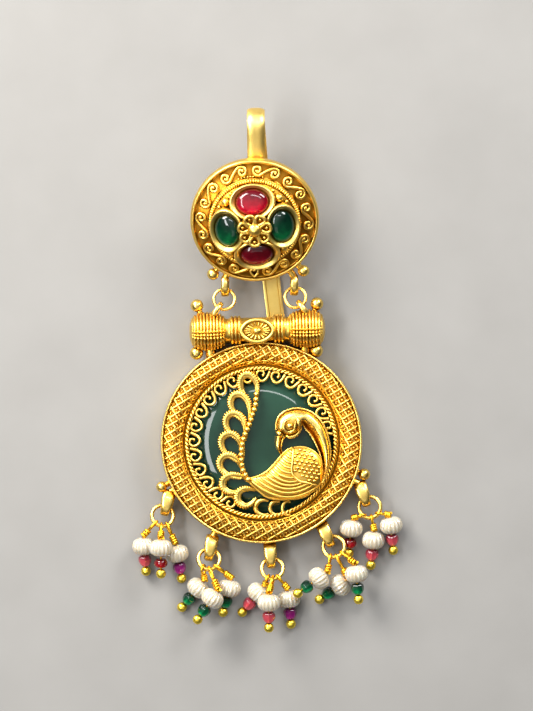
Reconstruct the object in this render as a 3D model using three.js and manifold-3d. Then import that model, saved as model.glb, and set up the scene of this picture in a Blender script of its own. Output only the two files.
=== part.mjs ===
// Hair brooch: a domed disc on a strip hook, linked by two jump rings to a medallion with five bead bunches.
// Millimetres. It lies on its back: +Z out of the face, +Y towards the hook, origin mid-back.
import * as THREE from "three";
import { mergeVertices } from "three/addons/utils/BufferGeometryUtils.js";
import Module from "manifold-3d";

const wasm = await Module();
wasm.setup();

// Driving sizes
const GAP = 0.3;
const STONE_RADIUS = 15.4;
const STONE_FLAT_RADIUS = 9.5;
const STONE_TOP = 4.2;
const RIM_RADIUS = 20.2;
const BARREL_AT = [-0.84, 22.56, 4.2];
const BARREL_TURN = 1.7;
const DISC_AT = [-1.34, 44.94, 8.2];
const DISC_TILT = 20;
const DISC_SPIN = 5;
const DISC_RADIUS = 12.85;
const BEZEL_ORBIT = 5.6;
const OVAL_RATIO = 1.27;
const STRIP_WIDTH = 3.5;
const STRIP_THICKNESS = 0.84;
const BEND_RADIUS = 3.2;
const LINK_RADIUS = 2.1;
const LINK_WIRE = 0.32;
const LINK_TILT = 14;
const DROP_RING_RADIUS = 2.16;
const DROP_RING_WIRE = 0.33;
const BAIL_Z = 2.6;
const LOOP_RADIUS = 1.05;
const LOOP_PLAY = 0.25;
const PIN_WIRE = 0.2;
const BORE = 0.45;
const PEARL_RADIUS = 2.35;
const PEARL_HALF = 1.75;
const BEAD_RADIUS = 1.3;
const BEAD_HALF = 1.15;
const TIP_RADIUS = 1.0;
const PEARL_TO_BEND = 2.1;
const PEARL_TO_BEAD = 3.05;
const PEARL_TO_TIP = 5.25;

// Revolved sections: radius, height
const MEDALLION_SECTION = [
  [0, 0], [19.5, 0], [20.2, 0.7], [20.2, 5.3], [19.8, 5.7], [19.4, 5.4], [17.6, 5.6],
  [16.2, 5.0], [15.9, 3.7], [15.4, 3.7], [14.9, 4.45], [14.55, 3.8], [14.55, 2.95], [15.7, 2.95], [15.7, 1.0],
  [0, 1.0],
];
const BARREL_HALF_SECTION = [
  [2.6, 0], [2.6, 3.3], [3.05, 3.6], [3.05, 5.2], [2.7, 5.4], [3.6, 5.7], [3.75, 7.5], [3.75, 11.8],
  [3.2, 12.9], [2.2, 13.4], [0, 13.4],
];
const DISC_SECTION = [
  [0, 0], [12.4, 0], [12.85, 0.5], [12.85, 1.8], [12.5, 2.1], [12.1, 2.1], [11.95, 1.6], [9.75, 2.4],
  [9.2, 3.4], [8.8, 3.2], [6.6, 4.5], [0, 5.5],
];
const BEZEL_SECTION = [[0, -1.6], [3.3, -1.6], [3.35, 0], [3.15, 1.1], [2.85, 1.1], [2.85, 0], [0, 0]];
const CABOCHON_SECTION = [[0, 0], [2.35, 0], [2.52, 0.5], [2.2, 1.3], [1.2, 1.85], [0, 2.0]];
const PEARL_SECTION = [
  [BORE, -PEARL_HALF], [1.7, -1.3], [PEARL_RADIUS, 0], [1.7, 1.3], [BORE, PEARL_HALF], [BORE, -PEARL_HALF],
];
const BEAD_SECTION = [
  [BORE, -BEAD_HALF], [BEAD_RADIUS, -0.5], [BEAD_RADIUS, 0.5], [BORE, BEAD_HALF], [BORE, -BEAD_HALF],
];
// Feather loops left of the tail stem: pointed root, rounded end, half width, share of the loop that is there
const FEATHERS = [
  { root: [-0.88, 7.72], end: [-2.88, 13.9], half: 1.7, share: 0.9 },
  { root: [-2.28, 3.72], end: [-4.68, 9.62], half: 1.7, share: 0.9 },
  { root: [-3.28, -0.08], end: [-5.88, 5.72], half: 1.75, share: 0.9 },
  { root: [-3.88, -3.88], end: [-7.08, 1.42], half: 1.8, share: 0.9 },
  { root: [-3.48, -7.08], end: [-8.18, -3.38], half: 1.75, share: 0.9 },
  { root: [-2.28, -8.08], end: [-7.88, -8.68], half: 1.7, share: 0.85 },
  { root: [-0.88, -9.58], end: [-4.68, -11.48], half: 1.7, share: 0.85 },
  { root: [1.72, -11.3], end: [-1.28, -12.9], half: 1.6, share: 0.85 },
  { root: [3.52, -11.3], end: [1.6, -13.5], half: 1.5, share: 0.85 },
  { root: [5.92, -11.3], end: [4.2, -13.6], half: 1.4, share: 0.85 },
];
const STEM = [[-0.94, 12.4], [-1.2, 7.6], [-2.6, 3.0], [-3.85, -1.2], [-3.9, -4.7], [-1.8, -7.9]];
const BODY = [
  [-2.3, -7.3], [1.0, -5.8], [4.0, -2.5], [7.1, -0.9], [10.3, -1.6], [12.2, -4.6], [12.4, -7.9], [10.5, -9.7],
  [7.1, -11.3], [3.1, -11.5], [0, -10.4], [-2.3, -8.2],
];
// Neck from breast to head and the beak: middle of the section, half width
const NECK = [
  { at: [12.1, -8.2], half: 0.8 },
  { at: [12.8, -4.5], half: 0.95 },
  { at: [12.3, -1.2], half: 1.4 },
  { at: [10.4, 3.0], half: 1.65 },
  { at: [7.4, 4.9], half: 1.65 },
  { at: [5.4, 3.7], half: 1.5 },
];
const BEAK = [
  { at: [4.1, 2.2], half: 0.9 },
  { at: [3.4, 0.2], half: 0.7 },
  { at: [4.2, -2.8], half: 0.3 },
];

// Scroll border: angles of the first and last scroll and how many stand between them
const SCROLLS = { first: 13, last: 242, count: 19, orbit: 13.5 };
const DISC_SCROLLS = { onEachSide: 5, step: 32, first: 24, orbit: 10.85 };

// Strip hook: along the back of the disc, round the bend and down to the flat tail
const STRIP_START = { x: -0.8, along: -7 };
const STRIP_BEND = { x: -1.1, along: 18, turnEnd: -68 };
const STRIP_TAIL = [
  { x: -0.1, y: 52.0, z: 2.75 },
  { x: 0.6, y: 46.0, z: 0.75 },
  { x: 1.1, y: 41.0, z: 0.52 },
  { x: 2.0, y: 32.3, z: 0.43 },
  { x: 2.9, y: 24.9, z: 0.43 },
];

// Jump rings between the disc and the barrel, and the eyelets they pass through
const LINKS = [
  {
    name: "link_ring_left", at: [-7.44, 28.66, 4.8], eyelet: 235,
    bail: [-5.93, -14.1, 1.0], ball: [-8.34, -11.58],
  },
  {
    name: "link_ring_right", at: [6.78, 29.05, 4.8], eyelet: -55,
    bail: [7.92, -13.9, 1.0], ball: [9.74, -10.87],
  },
];

// Bunches of drops: bail on the rim, ring and its tilt, and for each drop its loop's place round the ring,
// the middle of its pearl, and the heading and rise of the straight part that carries pearl, bead and tip
const BUNCHES = [
  {
    bail: [-18.9, -12.1], turn: -104, ring: [-19.8, -14.7], tilt: 16,
    drops: [
      { at: -25, pearl: [-23.6, -20.8, 2.45], heading: -85, rise: -15, bead: "rose" },
      { at: 10, pearl: [-20.1, -21.1, 5.7], heading: -90, rise: -10, bead: "ruby" },
      { at: 45, pearl: [-16.9, -22.3, 2.45], heading: -80, rise: -15, bead: "violet" },
    ],
  },
  {
    bail: [-10.2, -21.1], turn: -101, ring: [-10.5, -23.4], tilt: 20,
    drops: [
      { at: -25, pearl: [-12.7, -29.2, 2.45], heading: -130, rise: -15, bead: "leaf" },
      { at: 10, pearl: [-9.8, -31.2, 5.6], heading: -125, rise: -10, bead: "leaf" },
      { at: 50, pearl: [-6.4, -29.2, 2.45], heading: -105, rise: -15, bead: "leaf" },
    ],
  },
  {
    bail: [1.8, -22.6], turn: -86, ring: [2.2, -25.3], tilt: 20,
    drops: [
      { at: -35, pearl: [-0.6, -30.2, 2.45], heading: -130, rise: -15, bead: "rose" },
      { at: -5, pearl: [1.5, -32.0, 6.2], heading: -90, rise: -15, bead: "rose" },
      { at: 25, pearl: [5.5, -31.4, 2.45], heading: -85, rise: -15, bead: "violet" },
    ],
  },
  {
    bail: [13.0, -18.5], turn: -66, ring: [14.5, -20.9], tilt: 13,
    drops: [
      { at: -50, pearl: [11.5, -27.2, 4.6], heading: -145, rise: 10, bead: "leaf" },
      { at: -15, pearl: [15.8, -28.6, 2.45], heading: -145, rise: -15, bead: "leaf" },
      { at: 20, pearl: [19.0, -26.3, 5.0], heading: -85, rise: -10, bead: "leaf" },
    ],
  },
  {
    bail: [20.4, -10.3], turn: -71, ring: [21.7, -13.0], tilt: 8,
    drops: [
      { at: -65, pearl: [18.0, -17.2, 2.45], heading: -95, rise: -15, bead: "ruby" },
      { at: -15, pearl: [22.4, -19.6, 2.45], heading: -95, rise: -15, bead: "rose" },
      { at: 30, pearl: [26.0, -16.6, 2.45], heading: -85, rise: -15, bead: "rose" },
    ],
  },
];

// Solids and how they are joined

function solid(geometry) {
  const bare = geometry.index ? geometry.toNonIndexed() : geometry.clone();
  bare.deleteAttribute("normal");
  bare.deleteAttribute("uv");
  const merged = mergeVertices(bare, 1e-4);
  const corners = merged.index.array;
  const kept = [];
  for (let i = 0; i < corners.length; i += 3) {
    const [a, b, c] = [corners[i], corners[i + 1], corners[i + 2]];
    if (a !== b && b !== c && c !== a) kept.push(a, b, c);
  }
  const mesh = new wasm.Mesh({
    numProp: 3,
    vertProperties: merged.attributes.position.array,
    triVerts: new Uint32Array(kept),
  });
  return new wasm.Manifold(mesh);
}

function geometryOf(made) {
  const mesh = made.getMesh();
  const geometry = new THREE.BufferGeometry();
  geometry.setAttribute("position", new THREE.BufferAttribute(mesh.vertProperties, 3));
  geometry.setIndex(new THREE.BufferAttribute(mesh.triVerts, 1));
  return geometry;
}

function fuse(geometries) {
  return geometryOf(geometries.map(solid).reduce((whole, piece) => whole.add(piece)));
}

const radians = (degrees) => THREE.MathUtils.degToRad(degrees);
const vector = (point) => new THREE.Vector3(point[0], point[1], point[2] ?? 0);

// A unit vector from its heading in the XY plane and its rise out of it.
function direction(heading, rise) {
  const level = Math.cos(rise);
  return new THREE.Vector3(Math.cos(heading) * level, Math.sin(heading) * level, Math.sin(rise));
}

// A section turned round the Z axis.
function turned(section, sides) {
  const points = section.map(([radius, height]) => new THREE.Vector2(radius, height));
  const geometry = new THREE.LatheGeometry(points, sides);
  return geometry.rotateX(Math.PI / 2);
}

function ball(radius, at, sides = 10, bands = 6) {
  return new THREE.SphereGeometry(radius, sides, bands).translate(...at);
}

// A straight round bar between two points.
function bar(from, to, radius) {
  const run = vector(to).sub(vector(from));
  const geometry = new THREE.CylinderGeometry(radius, radius, run.length(), 6);
  const lean = new THREE.Quaternion().setFromUnitVectors(new THREE.Vector3(0, 1, 0), run.clone().normalize());
  const middle = vector(from).addScaledVector(run, 0.5);
  return geometry.applyQuaternion(lean).translate(middle.x, middle.y, middle.z);
}

// A ridge of three-cornered section along a line of points, its edge upwards.
function ridge(points, half, steps) {
  const section = new THREE.Shape([
    new THREE.Vector2(-half, 0),
    new THREE.Vector2(half, -half),
    new THREE.Vector2(half, half),
  ]);
  const path = new THREE.CatmullRomCurve3(points);
  return new THREE.ExtrudeGeometry(section, { extrudePath: path, steps });
}

// A limb that swells and narrows from station to station: its outline, raised to the height given.
function limb(stations, height, steps) {
  const path = new THREE.CatmullRomCurve3(stations.map((row) => vector(row.at)));
  const last = stations.length - 1;
  const outline = [];
  const back = [];
  for (let i = 0; i <= steps; i += 1) {
    const t = i / steps;
    const place = Math.min(t * last, last - 1e-6);
    const row = Math.floor(place);
    const half = THREE.MathUtils.lerp(stations[row].half, stations[row + 1].half, place - row);
    const at = path.getPoint(t);
    const along = path.getTangent(t);
    outline.push(new THREE.Vector2(at.x - along.y * half, at.y + along.x * half));
    back.unshift(new THREE.Vector2(at.x + along.y * half, at.y - along.x * half));
  }
  const shape = new THREE.Shape([...outline, ...back]);
  return new THREE.ExtrudeGeometry(shape, {
    depth: height * 0.5, bevelThickness: height * 0.25, bevelSize: 0.25, bevelOffset: -0.25, bevelSegments: 1,
  });
}

// An oval strap seen from the side, its hole running along X, its length along Y.
function bail(half, width) {
  const strap = new THREE.Shape();
  strap.absellipse(0, 0, half, 1.45, 0, Math.PI * 2);
  const hole = new THREE.Path();
  hole.absellipse(0, 0, half - 0.55, 0.9, 0, Math.PI * 2);
  strap.holes.push(hole);
  const geometry = new THREE.ExtrudeGeometry(strap, { depth: width, bevelEnabled: false, curveSegments: 4 });
  return geometry.translate(0, 0, -width / 2).rotateY(-Math.PI / 2).rotateX(-Math.PI / 2).rotateZ(Math.PI);
}

// Medallion

function stoneHeight(radius) {
  if (radius <= STONE_FLAT_RADIUS) return STONE_TOP - 0.2 * (radius / STONE_FLAT_RADIUS) ** 2;
  const over = (radius - STONE_FLAT_RADIUS) / (STONE_RADIUS - STONE_FLAT_RADIUS);
  return STONE_TOP - 0.2 - 1.8 * over ** 2;
}

// A point of the pierced front: it lies on the stone's dome with a gap under the wire.
function overStone(x, y, half) {
  const height = stoneHeight(Math.min(Math.hypot(x, y), STONE_RADIUS));
  return new THREE.Vector3(x, y, height + GAP + half);
}

function greenStone() {
  const section = [[0, 1.0 + GAP], [STONE_RADIUS, 1.0 + GAP]];
  for (const radius of [STONE_RADIUS, 13.8, 11.8, STONE_FLAT_RADIUS, 5]) {
    section.push([radius, stoneHeight(radius)]);
  }
  section.push([0, STONE_TOP]);
  return fuse([turned(section, 24)]);
}

// One scroll: a wave that leaves the rope, bulges inwards and curls back round its eye.
function scrollPath(orbit, angle, size, side, height) {
  const points = [];
  for (let turn = 145; turn >= -190; turn -= 66) {
    const closing = Math.max(0, (-50 - turn) / 270);
    const reach = turn > 100 ? size * 1.3 : size * (1 - 0.75 * closing);
    const radius = orbit - reach * Math.cos(radians(turn));
    const aside = reach * Math.sin(radians(turn));
    const bearing = radians(angle) - (side * aside) / orbit;
    points.push(height(radius * Math.cos(bearing), radius * Math.sin(bearing)));
  }
  return points;
}

function featherPath(row) {
  const root = new THREE.Vector2(...row.root);
  const axis = new THREE.Vector2(...row.end).sub(root);
  const side = new THREE.Vector2(-axis.y, axis.x).normalize();
  const points = [];
  const steps = 7;
  const first = 0.1;
  for (let i = 0; i <= steps; i += 1) {
    const turn = -THREE.MathUtils.lerp(first, row.share, i / steps) * Math.PI * 2;
    const along = (1 - Math.cos(turn)) / 2;
    const across = row.half * Math.sin(turn) * Math.abs(Math.sin(turn / 2)) ** 0.7 * 1.15;
    const x = root.x + axis.x * along + side.x * across;
    const y = root.y + axis.y * along + side.y * across;
    points.push(overStone(x, y, 0.45));
  }
  return points;
}

function peacock() {
  const outline = new THREE.SplineCurve(BODY.concat([BODY[0]]).map(([x, y]) => new THREE.Vector2(x, y)));
  const plate = new THREE.ExtrudeGeometry(new THREE.Shape(outline.getPoints(14).slice(0, -1)), {
    depth: 0.9, bevelThickness: 0.4, bevelSize: 0.3, bevelOffset: -0.3, bevelSegments: 1,
  });
  const breast = new THREE.SphereGeometry(1, 10, 6).rotateX(Math.PI / 2).scale(4.6, 4.2, 1.5);
  const head = new THREE.SphereGeometry(1, 10, 6).rotateX(Math.PI / 2).scale(2.5, 2.7, 1.3);
  return [
    plate.translate(0, 0, STONE_TOP + GAP + 0.4),
    breast.translate(7.2, -6.2, 5.6),
    limb(NECK, 1.8, 7).translate(0, 0, STONE_TOP + GAP + 0.45),
    head.translate(5.5, 3.6, 5.9),
    limb(BEAK, 1.2, 4).translate(0, 0, STONE_TOP + GAP + 0.3),
  ];
}

function piercedFront() {
  const pieces = [];
  const step = (SCROLLS.last - SCROLLS.first) / (SCROLLS.count - 1);
  for (let i = 0; i < SCROLLS.count; i += 1) {
    const angle = SCROLLS.first + step * i;
    const path = scrollPath(SCROLLS.orbit, angle, 1.15, 1, (x, y) => overStone(x, y, 0.34));
    pieces.push(ridge(path, 0.32, 4));
  }
  for (const row of FEATHERS) pieces.push(ridge(featherPath(row), 0.42, 5));
  pieces.push(ridge(STEM.map(([x, y]) => overStone(x, y, 0.45)), 0.45, 5));
  return pieces.concat(peacock());
}

function barrel() {
  const mirrored = BARREL_HALF_SECTION.slice(1).map(([radius, along]) => [radius, -along]).reverse();
  const drum = turned(mirrored.concat(BARREL_HALF_SECTION), 10).rotateY(Math.PI / 2);
  const eye = new THREE.Shape();
  eye.absellipse(0, 0, 3.3, 2.4, 0, Math.PI * 2);
  const plaque = new THREE.ExtrudeGeometry(eye, {
    depth: 0.9, bevelThickness: 0.3, bevelSize: 0.3, bevelOffset: -0.3, bevelSegments: 1, curveSegments: 5,
  });
  const feet = [-9.5, 9.5].map((x) => bar([x, -2.6, -0.4], [x * 0.98, -6.6, -0.6], 1.1));
  const pieces = [drum, plaque.translate(0, -0.2, 2.0), ball(0.9, [0, -0.2, 3.3], 8, 5), ...feet];
  return pieces.map((piece) => piece.rotateZ(radians(BARREL_TURN)).translate(...BARREL_AT));
}

// Balls and the short bars that hold them: where the ball is, where its bar starts
const BALLS = [
  { at: [-12.9, 27.4, 3.6], from: [-11.6, 24.4, 4.0], radius: 1.2 },
  { at: [11.1, 27.8, 3.6], from: [10.2, 25.0, 4.0], radius: 1.2 },
  { at: [-13.0, 17.9, 3.2], from: [-12.2, 19.8, 3.6], radius: 1.2 },
  { at: [11.0, 18.4, 3.2], from: [10.6, 20.6, 3.6], radius: 1.2 },
  { at: [-20.0, -8.9, 3.0], from: [-18.0, -7.9, 2.6], radius: 1.1 },
  { at: [20.6, -6.4, 3.0], from: [18.6, -5.8, 2.6], radius: 1.2 },
];

function eyelets() {
  return LINKS.map((row) => {
    const turn = radians(row.eyelet);
    const reach = LINK_RADIUS + 0.7;
    const lift = -Math.sin(turn) * LINK_RADIUS * Math.sin(radians(LINK_TILT));
    const strap = bail(1.85, 1.1).rotateZ(turn - Math.PI / 2);
    const [x, y, z] = row.at;
    return strap.translate(x + reach * Math.cos(turn), y + reach * Math.sin(turn), z + lift);
  });
}

function rimBails() {
  return BUNCHES.flatMap((row) => {
    const turn = radians(row.turn);
    const top = [row.bail[0] - 2.1 * Math.cos(turn), row.bail[1] - 2.1 * Math.sin(turn), BAIL_Z];
    const inwards = (RIM_RADIUS - 0.8) / Math.hypot(top[0], top[1]);
    const strap = bail(2.5, 2.2).rotateZ(turn - Math.PI / 2).translate(row.bail[0], row.bail[1], BAIL_Z);
    return [strap, bar([top[0] * inwards, top[1] * inwards, BAIL_Z], top, 0.75)];
  });
}

function medallion() {
  const balls = BALLS.flatMap((row) => [ball(row.radius, row.at, 7, 4), bar(row.from, row.at, 0.6)]);
  const rim = turned(MEDALLION_SECTION, 28);
  return fuse([rim, ...piercedFront(), ...barrel(), ...balls, ...eyelets(), ...rimBails()]);
}

// Disc: pieces that stand on it are made flat on their own base and then seated

function onDisc(geometry, angle) {
  geometry.rotateX(radians(-20)).translate(0, BEZEL_ORBIT, 4.9);
  return geometry.rotateZ(radians(angle + DISC_SPIN));
}

function cabochon(angle) {
  return onDisc(turned(CABOCHON_SECTION, 12).scale(OVAL_RATIO, 1, 1).translate(0, 0, GAP), angle);
}

function flower() {
  const post = turned([[0, 4.5], [1.9, 4.5], [1.3, 6.6], [2.2, 7.4], [0, 7.9]], 10);
  const pieces = [post, ball(1.1, [0, 0, 8.2], 7, 4)];
  for (let i = 0; i < 7; i += 1) {
    const petal = ball(1, [0, 0, 0], 6, 3).rotateX(Math.PI / 2).scale(1.12, 1.25, 0.6);
    pieces.push(petal.translate(0, 2.35, 7.7).rotateZ((i * Math.PI * 2) / 7));
  }
  return pieces;
}

function topDisc() {
  const spun = [turned(DISC_SECTION, 26)];
  const onCone = (x, y) => new THREE.Vector3(x, y, 2.3 + (DISC_SCROLLS.orbit - Math.hypot(x, y)) * 0.36);
  for (const side of [1, -1]) {
    for (let i = 0; i < DISC_SCROLLS.onEachSide; i += 1) {
      const angle = 90 + side * (DISC_SCROLLS.first + DISC_SCROLLS.step * i);
      spun.push(ridge(scrollPath(DISC_SCROLLS.orbit, angle, 0.8, side, onCone), 0.3, 4));
    }
  }
  spun.push(...flower());
  spun.forEach((piece) => piece.rotateZ(radians(DISC_SPIN)));
  const cup = turned(BEZEL_SECTION, 12).scale(OVAL_RATIO, 1, 1);
  const cups = [0, 90, 180, 270].map((angle) => onDisc(cup.clone(), angle));
  const hung = LINKS.flatMap((row) => {
    const [x, along, height] = row.bail;
    const inner = (DISC_RADIUS - 0.7) / Math.hypot(x, along + 1.7);
    const shelf = (DISC_RADIUS - 0.7) / Math.hypot(...row.ball);
    return [
      bail(2.0, 1.7).translate(x, along, height),
      bar([x * inner, (along + 1.7) * inner, height], [x, along + 1.7, height], 0.7),
      ball(1.2, [...row.ball, height], 7, 4),
      bar([row.ball[0] * shelf, row.ball[1] * shelf, height], [...row.ball, height], 0.6),
    ];
  });
  return fuse([...spun, ...cups, ...hung]);
}

// Hook

function hook() {
  const tilt = radians(DISC_TILT);
  const under = -GAP - STRIP_THICKNESS / 2;
  const onBack = (x, along) => new THREE.Vector3(
    x,
    DISC_AT[1] + along * Math.cos(tilt) - under * Math.sin(tilt),
    DISC_AT[2] + along * Math.sin(tilt) + under * Math.cos(tilt),
  );
  const points = [];
  for (const share of [0, 0.35, 0.7, 0.9]) {
    const x = THREE.MathUtils.lerp(STRIP_START.x, STRIP_BEND.x, share);
    points.push(onBack(x, THREE.MathUtils.lerp(STRIP_START.along, STRIP_BEND.along, share)));
  }
  const bendTop = onBack(STRIP_BEND.x, STRIP_BEND.along);
  const centreY = bendTop.y + BEND_RADIUS * Math.sin(tilt);
  const centreZ = bendTop.z - BEND_RADIUS * Math.cos(tilt);
  const turnStart = 90 + DISC_TILT;
  for (let i = 0; i <= 6; i += 1) {
    const turn = radians(THREE.MathUtils.lerp(turnStart, STRIP_BEND.turnEnd, i / 6));
    const at = new THREE.Vector3(STRIP_BEND.x, centreY, centreZ);
    points.push(at.add(new THREE.Vector3(0, Math.cos(turn), Math.sin(turn)).multiplyScalar(BEND_RADIUS)));
  }
  for (const row of STRIP_TAIL) points.push(new THREE.Vector3(row.x, row.y, row.z));
  const half = STRIP_WIDTH / 2;
  const thick = STRIP_THICKNESS / 2;
  const section = new THREE.Shape([
    new THREE.Vector2(-half, -thick),
    new THREE.Vector2(half, -thick),
    new THREE.Vector2(half, thick * 0.5),
    new THREE.Vector2(0, thick),
    new THREE.Vector2(-half, thick * 0.5),
  ]);
  const path = new THREE.CatmullRomCurve3(points, false, "centripetal");
  return fuse([new THREE.ExtrudeGeometry(section, { extrudePath: path, steps: 24 })]);
}

// Rings and drops

function linkRing(row) {
  const ring = new THREE.TorusGeometry(LINK_RADIUS, LINK_WIRE, 5, 10).rotateZ(Math.PI / 2);
  return fuse([ring.rotateX(radians(-LINK_TILT)).translate(...row.at)]);
}

// The frame of a drop ring: outwards from its bail, and across.
function ringFrame(row) {
  const heading = Math.atan2(row.ring[1] - row.bail[1], row.ring[0] - row.bail[0]);
  const tilt = radians(row.tilt);
  const out = direction(heading, tilt);
  const across = new THREE.Vector3(-Math.sin(heading), Math.cos(heading), 0);
  const centre = new THREE.Vector3(row.ring[0], row.ring[1], BAIL_Z + DROP_RING_RADIUS * Math.sin(tilt));
  return { out, across, centre };
}

function dropRing(row) {
  const { out, across, centre } = ringFrame(row);
  const basis = new THREE.Matrix4().makeBasis(out, across, out.clone().cross(across));
  const ring = new THREE.TorusGeometry(DROP_RING_RADIUS, DROP_RING_WIRE, 5, 10).applyMatrix4(basis);
  return fuse([ring.translate(centre.x, centre.y, centre.z)]);
}

// How a drop hangs: the matrix of its loop and neck, the matrix of its straight part, and the neck's length.
// Pieces are made along +Z, the neck from the middle of its loop and the straight part from the pearl.
function hanging(row, drop) {
  const { out, across, centre } = ringFrame(row);
  const at = radians(drop.at);
  const heading = radians(drop.heading);
  const rise = radians(drop.rise);
  const line = direction(heading, rise);
  const onRing = centre.clone().addScaledVector(out, DROP_RING_RADIUS * Math.cos(at));
  onRing.addScaledVector(across, DROP_RING_RADIUS * Math.sin(at));
  const neck = vector(drop.pearl).addScaledVector(line, -PEARL_TO_BEND).sub(onRing);
  const neckLength = neck.length() - LOOP_PLAY;
  neck.normalize();
  const run = out.clone().multiplyScalar(-Math.sin(at)).addScaledVector(across, Math.cos(at));
  const through = run.addScaledVector(neck, -run.dot(neck)).normalize();
  const loopSeat = new THREE.Matrix4().makeBasis(through, neck.clone().cross(through), neck);
  const level = new THREE.Vector3(-Math.sin(heading), Math.cos(heading), 0);
  const straightSeat = new THREE.Matrix4().makeBasis(level, line.clone().cross(level), line);
  return {
    loopSeat: loopSeat.setPosition(onRing.addScaledVector(neck, LOOP_PLAY)),
    straightSeat: straightSeat.setPosition(vector(drop.pearl)),
    neckLength,
  };
}

// A head pin: eye loop, wrapped neck, a bend above the pearl, shank and ball tip.
function pin({ loopSeat, straightSeat, neckLength }) {
  const loop = new THREE.TorusGeometry(LOOP_RADIUS, PIN_WIRE, 5, 8).rotateY(Math.PI / 2);
  const neck = turned([[0, 0.9], [0.48, 1.1], [0.48, neckLength - 0.5], [0, neckLength + 0.1]], 5);
  const shank = turned([
    [0, -PEARL_TO_BEND - 0.1], [PIN_WIRE, -PEARL_TO_BEND], [PIN_WIRE, PEARL_TO_TIP - 0.85],
    [TIP_RADIUS, PEARL_TO_TIP - 0.35], [TIP_RADIUS, PEARL_TO_TIP + 0.35], [0, PEARL_TO_TIP + TIP_RADIUS],
  ], 5);
  return [loop.applyMatrix4(loopSeat), neck.applyMatrix4(loopSeat), shank.applyMatrix4(straightSeat)];
}

// Materials: colour, roughness, metalness
const MATERIALS = {
  gold: ["#d9a53a", 0.32, 1],
  green: ["#3f5f50", 0.12, 0],
  ruby: ["#8f1022", 0.08, 0],
  emerald: ["#0d5a35", 0.08, 0],
  pearl: ["#efe6cf", 0.3, 0],
  rose: ["#b3597f", 0.15, 0],
  violet: ["#7d4a86", 0.15, 0],
  leaf: ["#2f7a55", 0.15, 0],
};

const group = new THREE.Group();

function add(name, geometry, look) {
  const [color, roughness, metalness] = MATERIALS[look];
  const mesh = new THREE.Mesh(geometry, new THREE.MeshStandardMaterial({ color, roughness, metalness }));
  mesh.name = name;
  group.add(mesh);
  return mesh;
}

// Seats a piece made in the disc's own frame.
function addOnDisc(name, geometry, look) {
  add(name, geometry.rotateX(radians(DISC_TILT)).translate(...DISC_AT), look);
}

addOnDisc("top_disc", topDisc(), "gold");
addOnDisc("ruby_top", fuse([cabochon(0)]), "ruby");
addOnDisc("ruby_bottom", fuse([cabochon(180)]), "ruby");
addOnDisc("emerald_left", fuse([cabochon(90)]), "emerald");
addOnDisc("emerald_right", fuse([cabochon(270)]), "emerald");
add("hook", hook(), "gold");
for (const row of LINKS) add(row.name, linkRing(row), "gold");
add("medallion", medallion(), "gold");
add("green_stone", greenStone(), "green");
BUNCHES.forEach((row, index) => {
  const number = index + 1;
  add("drop_ring_" + number, dropRing(row), "gold");
  row.drops.forEach((drop, place) => {
    const key = number + "abc"[place];
    const seats = hanging(row, drop);
    add("pin_" + key, fuse(pin(seats)), "gold");
    add("pearl_" + key, fuse([turned(PEARL_SECTION, 10).applyMatrix4(seats.straightSeat)]), "pearl");
    const bead = turned(BEAD_SECTION, 10).translate(0, 0, PEARL_TO_BEAD);
    add("bead_" + key, fuse([bead.applyMatrix4(seats.straightSeat)]), drop.bead);
  });
});

export default group;
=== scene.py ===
# Hair brooch: the looks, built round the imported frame. Shapes are in millimetres until make() scales them.
from math import atan2, cos, hypot, pi, radians, sin, sqrt

import bpy
import numpy as np
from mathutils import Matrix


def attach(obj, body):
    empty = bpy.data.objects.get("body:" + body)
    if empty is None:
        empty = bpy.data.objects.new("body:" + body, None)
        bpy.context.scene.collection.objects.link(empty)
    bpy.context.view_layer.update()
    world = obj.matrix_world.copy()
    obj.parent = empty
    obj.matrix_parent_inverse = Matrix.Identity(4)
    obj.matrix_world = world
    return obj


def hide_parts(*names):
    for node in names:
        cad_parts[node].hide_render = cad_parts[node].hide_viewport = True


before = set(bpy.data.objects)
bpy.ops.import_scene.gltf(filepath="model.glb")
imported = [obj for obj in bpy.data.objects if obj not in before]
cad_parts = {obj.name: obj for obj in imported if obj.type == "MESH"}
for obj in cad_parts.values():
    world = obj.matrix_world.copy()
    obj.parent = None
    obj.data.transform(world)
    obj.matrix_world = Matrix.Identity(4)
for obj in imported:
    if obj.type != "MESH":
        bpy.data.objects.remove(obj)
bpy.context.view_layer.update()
MM = 0.001

# Driving sizes: as the solids have them, except where the settings sit, the drop rings' wire and the bores
GAP = 0.3
STONE_RADIUS = 15.4
STONE_FLAT_RADIUS = 9.5
STONE_TOP = 4.2
INNER_FALL = 0.2
OUTER_FALL = 1.8
BARREL_AT = (-0.84, 22.56, 4.2)
BARREL_TURN = 1.7
DISC_AT = (-1.34, 44.94, 8.2)
DISC_TILT = 20
DISC_SPIN = 5
DISC_RADIUS = 12.85
BEZEL_ORBIT = 5.15
BEZEL_SHIFT = -0.2
BEZEL_HEIGHT = 4.9
BEZEL_LEAN = 20
OVAL_RATIO = 1.27
STRIP_WIDTH = 3.5
STRIP_THICKNESS = 0.84
BEND_RADIUS = 3.2
LINK_RADIUS = 2.1
LINK_WIRE = 0.32
LINK_TILT = 14
DROP_RING_RADIUS = 2.16
DROP_RING_WIRE = 0.4
BAIL_Z = 2.6
RIM_RADIUS = 20.2
LOOP_PLAY = 0.25
PIN_WIRE = 0.2
PEARL_RADIUS = 2.35
PEARL_HALF = 1.75
BEAD_RADIUS = 1.3
BEAD_HALF = 1.15
BORE = 0.3
TIP_RADIUS = 1.0
PEARL_TO_BEND = 2.1
PEARL_TO_BEAD = 3.05
PEARL_TO_TIP = 5.25


# Shapes

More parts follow.
